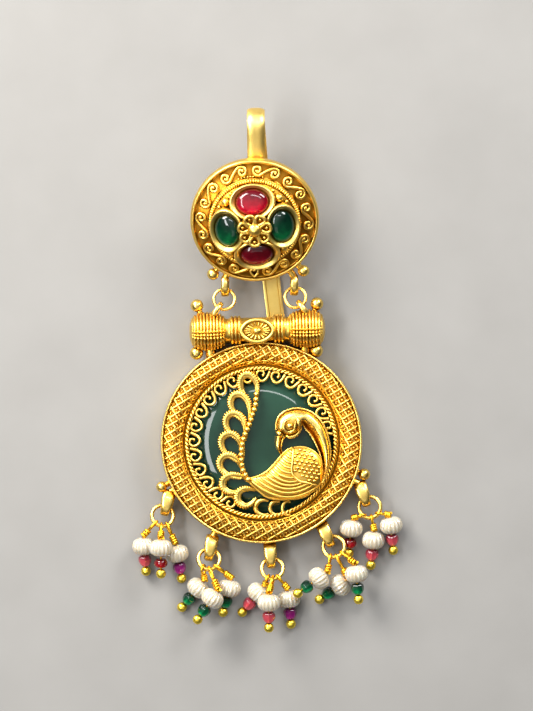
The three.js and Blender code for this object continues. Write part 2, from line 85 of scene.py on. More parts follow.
def joined(parts):
    """Shapes, each of points and faces, made into one."""
    points, faces, count = [], [], 0
    for part_points, part_faces in parts:
        points.append(part_points)
        faces.extend([corner + count for corner in face] for face in part_faces)
        count += len(part_points)
    return np.vstack(points), faces


def table(columns, rows):
    """Rows of values under the names of their columns."""
    return [dict(zip(columns.split(), row)) for row in rows]


def surface(grid, wrap_rows=False, wrap_columns=True):
    """Four-cornered faces over rows and columns of points."""
    rows, columns = grid.shape[:2]
    index = np.arange(rows * columns).reshape(rows, columns)
    if wrap_rows:
        index = np.vstack([index, index[:1]])
    if wrap_columns:
        index = np.hstack([index, index[:, :1]])
    corners = [index[:-1, :-1], index[:-1, 1:], index[1:, 1:], index[1:, :-1]]
    return grid.reshape(-1, 3), np.stack(corners, axis=-1).reshape(-1, 4).tolist()


def capped(grid):
    """A tube of rows with a point in the middle of each end."""
    points, faces = surface(grid)
    rows, columns = grid.shape[:2]
    first, last = len(points), len(points) + 1
    points = np.vstack([points, grid[0].mean(0), grid[-1].mean(0)])
    base = (rows - 1) * columns
    for i in range(columns):
        after = (i + 1) % columns
        faces.append([first, after, i])
        faces.append([last, base + i, base + after])
    return points, faces


def unit(vectors):
    vectors = np.asarray(vectors, float)
    return vectors / np.linalg.norm(vectors, axis=-1, keepdims=True)


def full_turn(steps):
    return np.linspace(0, 2 * pi, steps, endpoint=False)


def polar(radius, turn, height):
    return np.stack([radius * np.cos(turn), radius * np.sin(turn), height + 0 * turn], axis=-1)


def direction(heading, rise):
    return np.array([cos(heading) * cos(rise), sin(heading) * cos(rise), sin(rise)])


def through(points, each=16, closed=False):
    """A smooth curve through the points given, with the same number of steps on each span."""
    points = np.asarray(points, float)
    if closed:
        around = np.vstack([points[-1], points, points[0], points[1]])
    else:
        around = np.vstack([2 * points[0] - points[1], points, 2 * points[-1] - points[-2]])
    parts = []
    for before, start, end, after in zip(around[:-3], around[1:-2], around[2:-1], around[3:]):
        share = np.linspace(0, 1, each, endpoint=False)[:, None]
        bend = 2 * before - 5 * start + 4 * end - after
        twist = 3 * start - before - 3 * end + after
        parts.append(start + 0.5 * ((end - before) * share + bend * share ** 2 + twist * share ** 3))
    last = points[:1] if closed else points[-1:]
    return np.vstack(parts + [last])


def run_along(path):
    """How far each point lies along a path."""
    return np.concatenate([[0], np.cumsum(np.linalg.norm(np.diff(path, axis=0), axis=1))])


def curve(points, steps, closed=False):
    """Points spaced evenly along a smooth curve through the points given."""
    dense = through(points, 16, closed)
    run = run_along(dense)
    places = np.linspace(0, run[-1], steps, endpoint=not closed)
    return np.stack([np.interp(places, run, column) for column in dense.T], axis=1)


def tangents(path, closed=False):
    if closed:
        return unit(np.roll(path, -1, axis=0) - np.roll(path, 1, axis=0))
    return unit(np.gradient(path, axis=0))


def beside(path, up, closed=False):
    """Directions upward from a path and across it, at each of its points."""
    along = tangents(path, closed)
    upward = np.broadcast_to(np.asarray(up, float), along.shape)
    upward = unit(upward - along * np.sum(upward * along, axis=1, keepdims=True))
    return upward, np.cross(along, upward)


def sweep(path, radius, sides=10, closed=False, up=(0, 0, 1), height=1.0):
    """A tube along a path. The radius is one number, one for each step, or one for each step and side."""
    upward, across = beside(path, up, closed)
    turn = full_turn(sides)
    radius = np.asarray(radius, float)
    if radius.ndim < 2:
        radius = np.broadcast_to(radius.reshape(-1, 1), (len(path), sides))
    rise = (radius * np.cos(turn) * height)[:, :, None] * upward[:, None, :]
    aside = (radius * np.sin(turn))[:, :, None] * across[:, None, :]
    grid = path[:, None, :] + rise + aside
    return surface(grid, wrap_rows=True) if closed else capped(grid)


def swept_section(path, section, up):
    """A closed outline (across, upward), listed clockwise, carried along a path."""
    upward, across = beside(path, up)
    section = np.asarray(section, float)
    aside = section[None, :, :1] * across[:, None, :]
    rise = section[None, :, 1:] * upward[:, None, :]
    return capped(path[:, None, :] + aside + rise)


def rounded(section, radius, steps=3):
    """An open outline with each corner eased off."""
    section = np.asarray(section, float)
    eased = [section[0]]
    for before, corner, after in zip(section[:-2], section[1:-1], section[2:]):
        back, ahead = before - corner, after - corner
        reach = min(radius, 0.45 * np.linalg.norm(back), 0.45 * np.linalg.norm(ahead))
        start, end = corner + unit(back) * reach, corner + unit(ahead) * reach
        for share in np.linspace(0, 1, steps + 1):
            eased.append((1 - share) ** 2 * start + 2 * share * (1 - share) * corner + share ** 2 * end)
    eased.append(section[-1])
    return np.array(eased)


def lathe(section, sides=64, swell=None):
    """A section (radius, height) turned round the Z axis. swell(turn, row) adds to the radius."""
    section = np.asarray(section, float)
    turn = full_turn(sides)
    radius = np.repeat(section[:, :1], sides, axis=1)
    if swell:
        radius = radius + swell(turn[None, :], section)
    return surface(polar(radius, turn, np.repeat(section[:, 1:], sides, axis=1)))


def ball(at, radius, sides=14, bands=9, stretch=(1, 1, 1)):
    lift = np.linspace(-pi / 2, pi / 2, bands)
    points, faces = lathe(np.stack([radius * np.cos(lift), radius * np.sin(lift)], axis=1), sides)
    return points * np.asarray(stretch) + np.asarray(at, float), faces


def ring(centre, radius, wire, axis=(0, 0, 1), sides=12, steps=48):
    """A closed round wire ring about an axis."""
    axis = unit(axis)
    helper = (1, 0, 0) if abs(axis[0]) < 0.9 else (0, 1, 0)
    first = unit(np.cross(axis, helper))
    second = np.cross(axis, first)
    turn = full_turn(steps)[:, None]
    path = np.asarray(centre, float) + radius * (np.cos(turn) * first + np.sin(turn) * second)
    return sweep(path, wire, sides, closed=True, up=axis)


def rope_ring(radius, height, thickness, turns, strands=2, sides=8):
    """Strands twisted round each other into a ring that lies flat."""
    steps = turns * 12
    turn = full_turn(steps)
    for strand in range(strands):
        twist = turn * turns + 2 * pi * strand / strands
        out = radius + 0.5 * thickness * np.cos(twist)
        path = polar(out, turn, height + 0.5 * thickness * np.sin(twist))
        yield sweep(path, 0.56 * thickness, sides, closed=True)


def moved(made, turn_x=0, turn_z=0, by=(0, 0, 0), stretch=(1, 1, 1), first_by=(0, 0, 0)):
    """A shape stretched, turned about X, shifted, turned about Z and shifted again."""
    points, faces = made
    tilt, spin = radians(turn_x), radians(turn_z)
    about_x = np.array([[1, 0, 0], [0, cos(tilt), -sin(tilt)], [0, sin(tilt), cos(tilt)]])
    about_z = np.array([[cos(spin), -sin(spin), 0], [sin(spin), cos(spin), 0], [0, 0, 1]])
    points = (np.asarray(points) * np.asarray(stretch)) @ about_x.T + np.asarray(first_by, float)
    return points @ about_z.T + np.asarray(by, float), faces


def new_object(name, data):
    made = bpy.data.objects.new(name, data)
    bpy.context.scene.collection.objects.link(made)
    return made


def make(name, shape, material, node, sharp=40):
    """One named piece, of one shape or several, that stands for a solid of the frame."""
    points, faces = shape if isinstance(shape, tuple) else joined(shape)
    mesh = bpy.data.meshes.new(name)
    mesh.from_pydata((points * MM).tolist(), [], faces)
    mesh.polygons.foreach_set("use_smooth", [True] * len(mesh.polygons))
    mesh.set_sharp_from_angle(angle=radians(sharp))
    mesh.materials.append(material)
    piece = new_object(name, mesh)
    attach(piece, "root")
    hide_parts(node)


def make_gold(node, rows):
    """Gold pieces that stand for one solid. Edges bent by more than the angle sharp stay sharp."""
    for name, shape, material, sharp in rows:
        make(name, shape, material, node, sharp)


# Materials

WHITE = (1.0, 1.0, 1.0)


class Tree:
    """The nodes of a material or of the sky, with short ways to add to them."""

    def __init__(self, owner):
        owner.use_nodes = True
        self.owner = owner
        self.nodes = owner.node_tree.nodes
        self.links = owner.node_tree.links
        self.place = self.nodes.new("ShaderNodeTexCoord").outputs

    def feed(self, node, inputs):
        """Gives each input a value or what another node puts out."""
        for name, source in inputs.items():
            if isinstance(source, bpy.types.NodeSocket):
                self.links.new(source, node.inputs[name])
            else:
                node.inputs[name].default_value = source

    def add(self, kind, inputs, **settings):
        made = self.nodes.new("ShaderNode" + kind)
        for name, value in settings.items():
            setattr(made, name, value)
        self.feed(made, inputs)
        return made

    def noise(self, scale, detail=3.0):
        inputs = {"Vector": self.place["Object"], "Scale": scale, "Detail": detail}
        return self.add("TexNoise", inputs).outputs["Fac"]

    def ramp(self, value, stops):
        made = self.add("ValToRGB", {"Fac": value})
        points = made.color_ramp.elements
        while len(points) < len(stops):
            points.new(0.5)
        for point, (at, colour) in zip(points, stops):
            point.position = at
            point.color = (*colour, 1)
        return made.outputs["Color"]

    def spread(self, value, low, high):
        return self.add("MapRange", {"Value": value, "To Min": low, "To Max": high}).outputs["Result"]

    def bump(self, height, strength, distance):
        inputs = {"Height": height, "Strength": strength, "Distance": distance}
        return self.add("Bump", inputs).outputs["Normal"]

    def multiplied(self, first, second):
        inputs = {"Factor": 1.0, 6: first, 7: second}
        return self.add("Mix", inputs, data_type="RGBA", blend_type="MULTIPLY").outputs[2]

    def hollows(self, reach):
        """How open a spot is: low where something stands within reach."""
        return self.add("AmbientOcclusion", {"Distance": reach}, samples=6).outputs["AO"]

    def along_piece(self):
        """Where a spot lies from the foot to the head of its piece."""
        return self.add("SeparateXYZ", {0: self.place["Generated"]}).outputs["Y"]

    def shaded(self, inputs):
        self.feed(self.nodes["Principled BSDF"], inputs)
        return self.owner


def gold(name, bright, middle, deep, dark, reach, smoothest, roughest, grain=0.06, foot=1.0):
    """Plated metal: bright where it stands out, brown in its hollows with patina and painted shade, and
    darker towards its foot with painted shade.
    """
    tree = Tree(bpy.data.materials.new(name))
    # Patina and painted shade: brown where other metal stands close by, bright where the surface is open
    tone = tree.ramp(tree.hollows(reach), [(0.18, dark), (0.48, deep), (0.76, middle), (1.0, bright)])
    tint = tree.ramp(tree.noise(420.0), [(0.3, (0.9, 0.85, 0.76)), (0.7, WHITE)])
    # Painted shade: darker towards the foot of each piece, down to the factor foot
    foot_shade = tree.ramp(tree.along_piece(), [(0.0, (foot,) * 3), (0.45, WHITE)])
    return tree.shaded({
        "Base Color": tree.multiplied(tone, tree.multiplied(tint, foot_shade)),
        "Metallic": 1.0,
        "Roughness": tree.spread(tree.noise(1500.0, 4.0), smoothest, roughest),
        "Normal": tree.bump(tree.noise(5200.0, 2.0), grain, 0.00005),
    })


def stone(name, light, dark, cloud_scale):
    """Polished opaque stone with faint clouds under a clear gloss."""
    tree = Tree(bpy.data.materials.new(name))
    return tree.shaded({
        "Base Color": tree.ramp(tree.noise(cloud_scale, 5.0), [(0.3, dark), (0.72, light)]),
        "Specular IOR Level": 0.3,
        "Roughness": tree.spread(tree.noise(900.0), 0.03, 0.08),
        "Normal": tree.bump(tree.noise(240.0, 1.0), 0.03, 0.0002),
    })


def gem(name, glow, body, deep, clear):
    """Clear coloured glass: a painted glow at the side away from the lamps, and the rest stays deep."""
    tree = Tree(bpy.data.materials.new(name))
    # Painted glow: lighter towards the foot of the piece, away from the lamps, broken up by faint clouds
    inputs = {0: tree.noise(700.0, 2.0), 1: 0.5, 2: tree.along_piece()}
    clouds_and_glow = tree.add("Math", inputs, operation="MULTIPLY_ADD")
    return tree.shaded({
        "Base Color": tree.ramp(clouds_and_glow.outputs[0], [(0.3, glow), (0.62, body), (1.0, deep)]),
        "Transmission Weight": clear,
        "IOR": 1.46,
        "Coat Weight": 0.12,
        "Coat Roughness": 0.02,
        "Roughness": tree.spread(tree.noise(900.0), 0.03, 0.09),
        "Normal": tree.bump(tree.noise(500.0, 1.0), 0.04, 0.0002),
    })


def pearl_coat():
    tree = Tree(bpy.data.materials.new("pearl_coat"))
    # Painted light: the pearl is lighter in its grooves and hollows than on its open ribs
    lit_grooves = [(0.2, (0.62, 0.55, 0.42)), (0.6, (0.55, 0.5, 0.395)), (1.0, (0.5, 0.465, 0.375))]
    streaks = tree.noise(900.0, 4.0)
    tint = tree.ramp(streaks, [(0.3, (0.9, 0.86, 0.84)), (0.65, WHITE)])
    return tree.shaded({
        "Base Color": tree.multiplied(tree.ramp(tree.hollows(0.0007), lit_grooves), tint),
        "Metallic": 0.1,
        "Coat Weight": 1.0,
        "Coat Roughness": 0.05,
        "Subsurface Weight": 1.0,
        "Subsurface Radius": (1.0, 0.8, 0.55),
        "Subsurface Scale": 0.003,
        "Roughness": tree.spread(streaks, 0.12, 0.26),
        "Normal": tree.bump(tree.noise(2600.0, 2.0), 0.06, 0.00006),
    })


def floor_paper():
    tree = Tree(bpy.data.materials.new("floor_paper"))
    fibres = tree.noise(60.0, 6.0)
    return tree.shaded({
        "Base Color": tree.ramp(fibres, [(0.3, (0.2, 0.194, 0.184)), (0.7, (0.22, 0.214, 0.204))]),
        "Roughness": tree.spread(fibres, 0.6, 0.8),
    })


CAST = gold("cast_gold", (0.94, 0.65, 0.15), (0.84, 0.5, 0.06), (0.54, 0.23, 0.008),
            (0.12, 0.04, 0.001), reach=0.0008, smoothest=0.27, roughest=0.4)
POLISHED = gold("polished_gold", (0.95, 0.68, 0.18), (0.9, 0.56, 0.09), (0.58, 0.27, 0.015),
                (0.13, 0.046, 0.003), reach=0.0009, smoothest=0.22, roughest=0.34, grain=0.04)
WIRE = gold("wire_gold", (1.0, 0.6, 0.04), (0.95, 0.5, 0.02), (0.75, 0.32, 0.0),
            (0.35, 0.12, 0.0), reach=0.0005, smoothest=0.22, roughest=0.34, grain=0.04)
TIP = gold("tip_gold", (1.0, 0.76, 0.09), (0.98, 0.68, 0.06), (0.75, 0.43, 0.01),
           (0.3, 0.13, 0.0), reach=0.0006, smoothest=0.28, roughest=0.4, grain=0.04)
# Darker, browner gold for the channel under the scrolls and the cup under the petals: antique patina and
# painted shade
SHADED_ANTIQUE = gold("shaded_antique_gold", (0.7, 0.34, 0.04), (0.52, 0.21, 0.012), (0.26, 0.085, 0.002),
               (0.045, 0.013, 0.0), reach=0.0009, smoothest=0.26, roughest=0.42, foot=0.45)
ORANGE = gold("orange_gold", (0.98, 0.63, 0.1), (0.93, 0.53, 0.05), (0.66, 0.29, 0.012),
              (0.14, 0.045, 0.0), reach=0.0007, smoothest=0.28, roughest=0.4, foot=0.6)
WOVEN = gold("woven_gold", (0.94, 0.65, 0.15), (0.84, 0.5, 0.06), (0.54, 0.23, 0.008),
             (0.1, 0.034, 0.001), reach=0.0009, smoothest=0.27, roughest=0.4, foot=0.55)
SATIN = gold("satin_gold", (0.97, 0.71, 0.21), (0.9, 0.58, 0.1), (0.62, 0.32, 0.03),
             (0.15, 0.06, 0.004), reach=0.0005, smoothest=0.34, roughest=0.46, grain=0.03, foot=0.5)
SETTING = gold("setting_gold", (0.95, 0.7, 0.2), (0.9, 0.6, 0.12), (0.62, 0.32, 0.03),
               (0.14, 0.055, 0.004), reach=0.0006, smoothest=0.32, roughest=0.46, grain=0.04)
GREEN = stone("green_gloss", (0.012, 0.042, 0.026), (0.005, 0.02, 0.012), 90.0)
RUBY = gem("ruby_gloss", (0.58, 0.005, 0.028), (0.25, 0.002, 0.012), (0.1, 0.001, 0.006), 0.25)
GARNET = gem("garnet_gloss", (0.34, 0.003, 0.014), (0.11, 0.001, 0.006), (0.04, 0.0, 0.002), 0.25)
EMERALD = gem("emerald_gloss", (0.003, 0.12, 0.035), (0.001, 0.035, 0.014), (0.0, 0.012, 0.006), 0.25)
PEARL = pearl_coat()
GLASS = {
    "rose": gem("rose_glass", (0.95, 0.16, 0.18), (0.6, 0.075, 0.1), (0.28, 0.025, 0.045), 0.4),
    "ruby": gem("ruby_glass", (0.6, 0.004, 0.012), (0.24, 0.002, 0.006), (0.1, 0.001, 0.003), 0.4),
    "violet": gem("violet_glass", (0.62, 0.035, 0.36), (0.32, 0.015, 0.2), (0.13, 0.006, 0.08), 0.4),
    "leaf": gem("leaf_glass", (0.006, 0.42, 0.13), (0.002, 0.11, 0.04), (0.001, 0.02, 0.01), 0.4),
}


# Medallion

# Turned sections: radius, height
MEDALLION_SECTION = [
    (0, 0), (19.5, 0), (20.2, 0.7), (20.2, 5.0), (19.95, 5.42), (19.68, 5.25), (19.56, 4.6), (16.6, 4.1),
    (16.45, 4.85), (15.9, 4.05), (15.8, 3.4), (15.4, 3.4), (14.5, 3.2), (14.5, 2.95), (15.7, 2.95),
    (15.7, 1.0), (0, 1.0),
]
BAND_CROWN = [
    (15.74, 4.36), (16.2, 4.72), (16.8, 5.16), (17.5, 5.46), (18.2, 5.44), (19.0, 5.26), (19.62, 5.08),
]
BAND_SPLIT = 13
WEAVE_PITCH = 1.35
WEAVE_TURN = 30
WEAVE_WIRE = {"half": 0.2, "height": 0.42}
WEAVE_BEAD = {"half": 0.19, "height": 0.36}
ROPE = {"radius": 14.87, "height": 4.1, "thickness": 0.45, "turns": 58}
SCROLLS = {"first": 13, "last": 242, "count": 19, "orbit": 14.0, "wire": 0.28, "level": 4.1}
# The green stone from its foot to its middle: radius, height
STONE_GIRDLE = [(0, 1.3), (15.2, 1.3), (15.4, 1.45), (15.3, 1.62)]
STONE_CROWN = [
    (14.9, 1.85), (13.6, 2.55), (12.0, 3.3), (11.3, 3.57), (10.6, 3.79), (10.0, 3.92), (9.3, 4.02),
    (8.6, 4.06), (6.0, 4.14), (3.0, 4.19), (0, 4.2),
]
# One scroll of the border: how far inwards and how far round towards the clockwise side
SCROLL = [
    (-0.35, 1.5), (0.1, 1.38), (0.6, 1.22), (1.15, 0.95), (1.6, 0.4), (1.7, -0.1), (1.5, -0.62),
    (1.0, -1.02), (0.45, -1.14), (-0.1, -0.95), (-0.38, -0.45), (-0.26, 0.08), (0.1, 0.34), (0.48, 0.2),
]


def stone_height(radius):
    over = np.maximum(0, radius - STONE_FLAT_RADIUS) / (STONE_RADIUS - STONE_FLAT_RADIUS)
    inner = np.minimum(radius, STONE_FLAT_RADIUS) / STONE_FLAT_RADIUS
    return STONE_TOP - INNER_FALL * inner ** 2 - OUTER_FALL * over ** 2


def over_stone(path, lift, lowest=0.0):
    """Lays a flat path over the stone's dome, no lower than the height given."""
    path = np.asarray(path, float)
    radius = np.minimum(np.hypot(path[:, 0], path[:, 1]), STONE_RADIUS)
    return np.column_stack([path[:, :2], np.maximum(stone_height(radius) + GAP + lift, lowest)])


def woven_band():
    """The rim's face and the slope inside it: crossing wires, over and under, with a bead in each opening."""
    columns, rows = 1400, 58
    turn = full_turn(columns)
    radius = np.linspace(BAND_CROWN[-1][0], BAND_CROWN[0][0], rows)[::-1, None]
    x, y = radius * np.cos(turn), radius * np.sin(turn)
    lean = radians(WEAVE_TURN)
    u = (x * cos(lean) + y * sin(lean)) / WEAVE_PITCH
    v = (y * cos(lean) - x * sin(lean)) / WEAVE_PITCH
    off_u, off_v = np.abs(u - np.round(u)), np.abs(v - np.round(v))
    weave = np.where((np.round(u) + np.round(v)) % 2 == 0, 1.0, -1.0)
    half, high = WEAVE_WIRE["half"], WEAVE_WIRE["height"]
    wire_u = np.sqrt(np.clip(1 - (off_u / half) ** 2, 0, 1)) * (high + 0.1 * weave * (0.5 - off_v))
    wire_v = np.sqrt(np.clip(1 - (off_v / half) ** 2, 0, 1)) * (high - 0.1 * weave * (0.5 - off_u))
    away = (0.5 - off_u) ** 2 + (0.5 - off_v) ** 2
    bead = np.sqrt(np.clip(1 - away / WEAVE_BEAD["half"] ** 2, 0, 1)) * WEAVE_BEAD["height"]
    crown = np.interp(radius, *zip(*BAND_CROWN))
    edge = np.clip(np.minimum(radius - BAND_CROWN[0][0], BAND_CROWN[-1][0] - radius) / 0.12, 0, 1)
    height = crown - high + edge * np.maximum(np.maximum(wire_u, wire_v), bead)
    grid = np.stack([x, y, height], axis=-1)
    outer, inner = grid[BAND_SPLIT:], grid[:BAND_SPLIT + 1]
    return [surface(part[::-1], wrap_rows=False) for part in (outer, inner)]


def band_groove():
    """The smooth step from the woven slope down to the groove beside the rope."""
    return lathe([(15.95, 4.3), (15.74, 4.2), (15.6, 3.9), (15.5, 3.5), (15.2, 3.46)], 160)


def border_scroll(angle):
    inward, clockwise = np.array(SCROLL).T
    radius = SCROLLS["orbit"] - inward
    bearing = radians(angle) - clockwise / SCROLLS["orbit"]
    flat = np.stack([radius * np.cos(bearing), radius * np.sin(bearing)], axis=1)
    return curve(over_stone(flat, SCROLLS["wire"], SCROLLS["level"]), 64)


def scroll_border():
    for angle in np.linspace(SCROLLS["first"], SCROLLS["last"], SCROLLS["count"]):
        path = border_scroll(angle)
        yield sweep(path, SCROLLS["wire"] * np.linspace(1.2, 0.85, len(path)), 10)
        yield ball(path[-1], 0.32, 10, 7)


def visual_stone():
    """The green stone: nearly flat, then a shoulder that falls ever more steeply to its edge."""
    girdle = rounded(STONE_GIRDLE, 0.15)
    crown = curve(STONE_GIRDLE[-1:] + STONE_CROWN, 60)
    return lathe(np.vstack([girdle, crown[1:]]), 128)


# Feathers, stem and bird on the medallion

# A feather's loop starts and stops at shares of a whole turn
FEATHERS = table("root end half_width start stop", [
    ((-1.5, 7.3), (-3.2, 13.8), 1.85, 0.16, 0.92),
    ((-2.6, 3.7), (-5.3, 9.75), 2.0, 0.06, 0.92),
    ((-3.45, 0.0), (-6.3, 5.85), 2.05, 0.06, 0.92),
    ((-3.95, -4.0), (-7.3, 1.7), 2.12, 0.06, 0.92),
    ((-3.4, -7.1), (-8.05, -2.95), 2.1, 0.06, 0.92),
    ((-2.0, -7.9), (-7.95, -8.4), 2.0, 0.06, 0.85),
    ((-0.6, -9.7), (-4.8, -11.7), 1.9, 0.06, 0.85),
])
TICK = 0.44
CURLS = table("at wide tall thick", [
    ((0.5, -13.0), 1.7, 1.5, 0.5),
    ((3.0, -13.1), 1.3, 1.35, 0.42),
    ((5.25, -13.15), 1.05, 1.35, 0.38),
])
STEM = [
    (-0.98, 9.7), (-1.2, 7.4), (-1.8, 5.45), (-2.46, 3.46), (-3.28, 1.55), (-3.75, 0.0), (-4.0, -1.7),
    (-4.0, -3.3), (-3.7, -5.4), (-2.65, -7.35),
]
STEM_BEAD = 0.58
STEM_STEP = 0.98
BODY = [
    (-2.3, -7.25), (-0.7, -6.7), (1.0, -5.8), (2.6, -4.2), (4.0, -2.5), (5.4, -1.3), (7.1, -0.85),
    (8.8, -0.9), (10.4, -1.65), (11.7, -2.9), (12.3, -4.9), (12.3, -7.2), (11.6, -8.6), (10.4, -9.7),
    (8.5, -10.9), (5.7, -11.4), (3.1, -11.4), (0.9, -10.9), (-0.9, -9.5), (-2.3, -8.1),
]
BODY_RIM = curve(BODY[::-1], 360, closed=True)
BODY_MIDDLE = np.array([6.2, -6.4])
BODY_EDGE = 5.3
BODY_RISE = 1.75
DIVIDER = [(6.35, -1.0), (6.25, -3.5), (6.1, -5.9), (7.3, -7.5), (9.3, -8.1), (11.3, -8.7)]
WING_EDGE = [(5.5, -1.5), (4.0, -2.7), (2.6, -4.4), (1.0, -6.0), (-0.7, -7.0), (-1.9, -7.7)]
WING_LINES = 11
SCALE_PITCH = 0.95
SCALE_ROW = 0.72
SCALE_SLOPE = -0.16
BREAST = [
    (6.7, -1.3), (8.7, -1.2), (10.2, -1.9), (11.4, -3.2), (11.9, -5.2), (11.8, -7.2), (11.2, -8.2),
    (9.4, -7.6), (7.6, -6.9), (6.6, -5.7), (6.75, -3.5),
]
# Head and neck from the beak to the breast: the edge at the left and at the right hand on the way, the height
# between them, and how far the head has turned into the neck
NECK = table("left right top neck", [
    ((3.0, 2.45), (3.3, 2.1), 5.7, 0),
    ((2.98, 3.6), (3.9, 1.75), 6.5, 0),
    ((3.5, 5.1), (4.75, 1.5), 6.9, 0),
    ((4.8, 6.2), (5.75, 1.38), 7.1, 0),
    ((6.5, 6.75), (6.85, 1.75), 7.15, 0),
    ((8.0, 6.7), (7.6, 2.6), 7.1, 0.1),
    ((9.3, 6.3), (8.1, 3.4), 7.05, 0.6),
    ((10.4, 5.7), (8.8, 2.5), 7.1, 1),
    ((11.75, 4.35), (9.8, 1.35), 7.1, 1),
    ((12.75, 2.6), (10.6, -0.1), 7.1, 1),
    ((13.4, 0.4), (11.28, -1.5), 7.0, 1),
    ((13.7, -1.96), (11.86, -3.2), 6.9, 1),
    ((13.5, -4.3), (12.25, -4.9), 6.7, 1),
    ((12.95, -6.3), (12.2, -6.5), 6.4, 1),
    ((12.1, -8.0), (11.7, -7.9), 6.0, 1),
])
# From the left to the right hand: share of the way, share of the height
NECK_PROFILE = [
    (0.0, 0.0), (0.02, 0.35), (0.08, 0.65), (0.2, 0.9), (0.35, 1.0), (0.5, 0.95), (0.64, 0.7),
    (0.74, 0.32), (0.81, 0.12), (0.87, 0.26), (0.93, 0.44), (0.99, 0.4), (1.0, 0.0),
]
BEAK = table("left right top neck", [
    ((4.75, 0.95), (2.7, 1.45), 6.4, 1),
    ((4.28, -0.4), (2.62, -0.2), 6.5, 1),
    ((4.1, -1.4), (2.98, -1.35), 6.3, 1),
    ((4.3, -2.55), (3.8, -2.45), 5.7, 1),
])
BEAK_PROFILE = [
    (0.0, 0.0), (0.04, 0.45), (0.14, 0.62), (0.25, 0.55), (0.33, 0.42), (0.42, 0.7), (0.56, 1.0),
    (0.75, 0.95), (0.92, 0.6), (1.0, 0.0),
]
NECK_FOOT = 5.0
LIMB_STEPS = 40
EYE_AT = (5.64, 3.35)
# The ring that winds round the eye: direction, reach, thickness
EYE_RING = [
    (42, 1.55, 0.1), (18, 1.2, 0.2), (-8, 1.05, 0.26), (-45, 1.15, 0.32), (-90, 1.3, 0.34),
    (-135, 1.25, 0.32), (-175, 1.18, 0.28), (-227, 1.25, 0.22), (-274, 1.38, 0.08),
]
# Raised lines on the head: x, y, thickness
CHEEK = [(6.88, 5.3, 0.14), (7.35, 4.3, 0.42), (7.55, 3.3, 0.5), (7.3, 2.3, 0.26)]
CHIN = [
    (4.75, 1.42, 0.12), (5.3, 1.22, 0.34), (5.95, 1.16, 0.42), (7.05, 1.6, 0.4), (7.75, 2.5, 0.26),
    (8.05, 3.1, 0.1),
]
CERE = [(2.85, 2.35, 0.14), (3.3, 1.98, 0.4), (4.0, 1.5, 0.5), (4.75, 0.95, 0.2)]


def feather_path(row):
    """A loop that leaves its root, widens to a round end and comes back."""
    root, end = np.array(row["root"]), np.array(row["end"])
    axis = end - root
    side = unit([-axis[1], axis[0]])
    turn = -np.linspace(row["start"], row["stop"], 24) * 2 * pi
    along = (1 - np.cos(turn)) / 2
    across = row["half_width"] * np.sin(turn) * np.abs(np.sin(turn / 2)) ** 0.7 * 1.15
    return root + along[:, None] * axis + across[:, None] * side


def feather(row):
    """A loop rim with a notched outer side, thickest at the round end, and a smooth lip inside it."""
    path = curve(over_stone(feather_path(row), 0.45), 260)
    path[:, 2] = np.maximum(path[:, 2], SCROLLS["level"] + 0.5)
    sides = 16
    share = np.linspace(0, 1, len(path))
    path[:, 2] -= 0.3 * np.clip(1 - share / 0.3, 0, 1)
    run = run_along(path)
    left = np.cross(tangents(path), (0, 0, 1))
    outer = -np.sign(np.median(np.sum(left * (path.mean(0) - path), axis=1)))
    body = 0.28 + 0.34 * np.sin(pi * np.clip(share * 1.05, 0, 1)) ** 1.2
    facing = np.clip(1.4 * outer * np.sin(full_turn(sides)), 0, 1)
    lobes = np.abs(np.sin(pi * run / TICK)) ** 0.6 - 0.75
    yield sweep(path, body[:, None] * (1 + 0.62 * lobes[:, None] * facing[None, :]), sides, height=0.8)
    lip = path - left * outer * (0.8 * body)[:, None]
    lip[:, 2] -= 0.16
    yield sweep(lip[8:-8], 0.75 * body[8:-8], 10)


def feathers():
    for row in FEATHERS:
        yield from feather(row)
    for row in CURLS:
        turn = np.radians(np.linspace(58, 302, 44))
        flat = row["at"] + np.stack([row["wide"] * np.cos(turn), row["tall"] * np.sin(turn)], axis=1)
        path = over_stone(flat, 0.45, SCROLLS["level"])
        yield sweep(path, row["thick"] * np.sin(pi * np.linspace(0.12, 0.9, len(path))) ** 0.8, 10)


def stem():
    """A string of beads with narrow collars between them, over the feathers' roots."""
    length = run_along(curve(STEM, 400))[-1]
    path = over_stone(curve(STEM, round(length / STEM_STEP)), STEM_BEAD + 0.7)
    for at in path:
        yield ball(at, STEM_BEAD, 14, 9)
    yield sweep(path, 0.26, 8)


def body_height(points):
    """Height of the bird's body over a flat point: a pillow that falls to its outline."""
    points = np.asarray(points, float)
    spoke = BODY_RIM - BODY_MIDDLE
    turn = np.arctan2(spoke[:, 1], spoke[:, 0])
    order = np.argsort(turn)
    away = points - BODY_MIDDLE
    bearing = np.arctan2(away[:, 1], away[:, 0])
    reach = np.interp(bearing, turn[order], np.hypot(*spoke[order].T), period=2 * pi)
    share = np.clip(np.hypot(away[:, 0], away[:, 1]) / reach, 0, 1)
    return BODY_EDGE + BODY_RISE * np.sqrt(1 - share ** 2.2)


def on_body(path, lift=0.0):
    return np.column_stack([np.asarray(path)[:, :2], body_height(np.asarray(path)[:, :2]) + lift])


def bird_body():
    shares = np.concatenate([np.linspace(0.02, 0.9, 30), np.linspace(0.92, 1.0, 8)])[:, None, None]
    flat = BODY_MIDDLE + shares * (BODY_RIM - BODY_MIDDLE)
    height = body_height(flat.reshape(-1, 2)).reshape(flat.shape[:2])
    top = np.concatenate([flat, height[:, :, None]], axis=-1)
    foot = top[-1:].copy()
    foot[..., 2] = STONE_TOP + GAP
    return capped(np.concatenate([top, foot])[::-1])


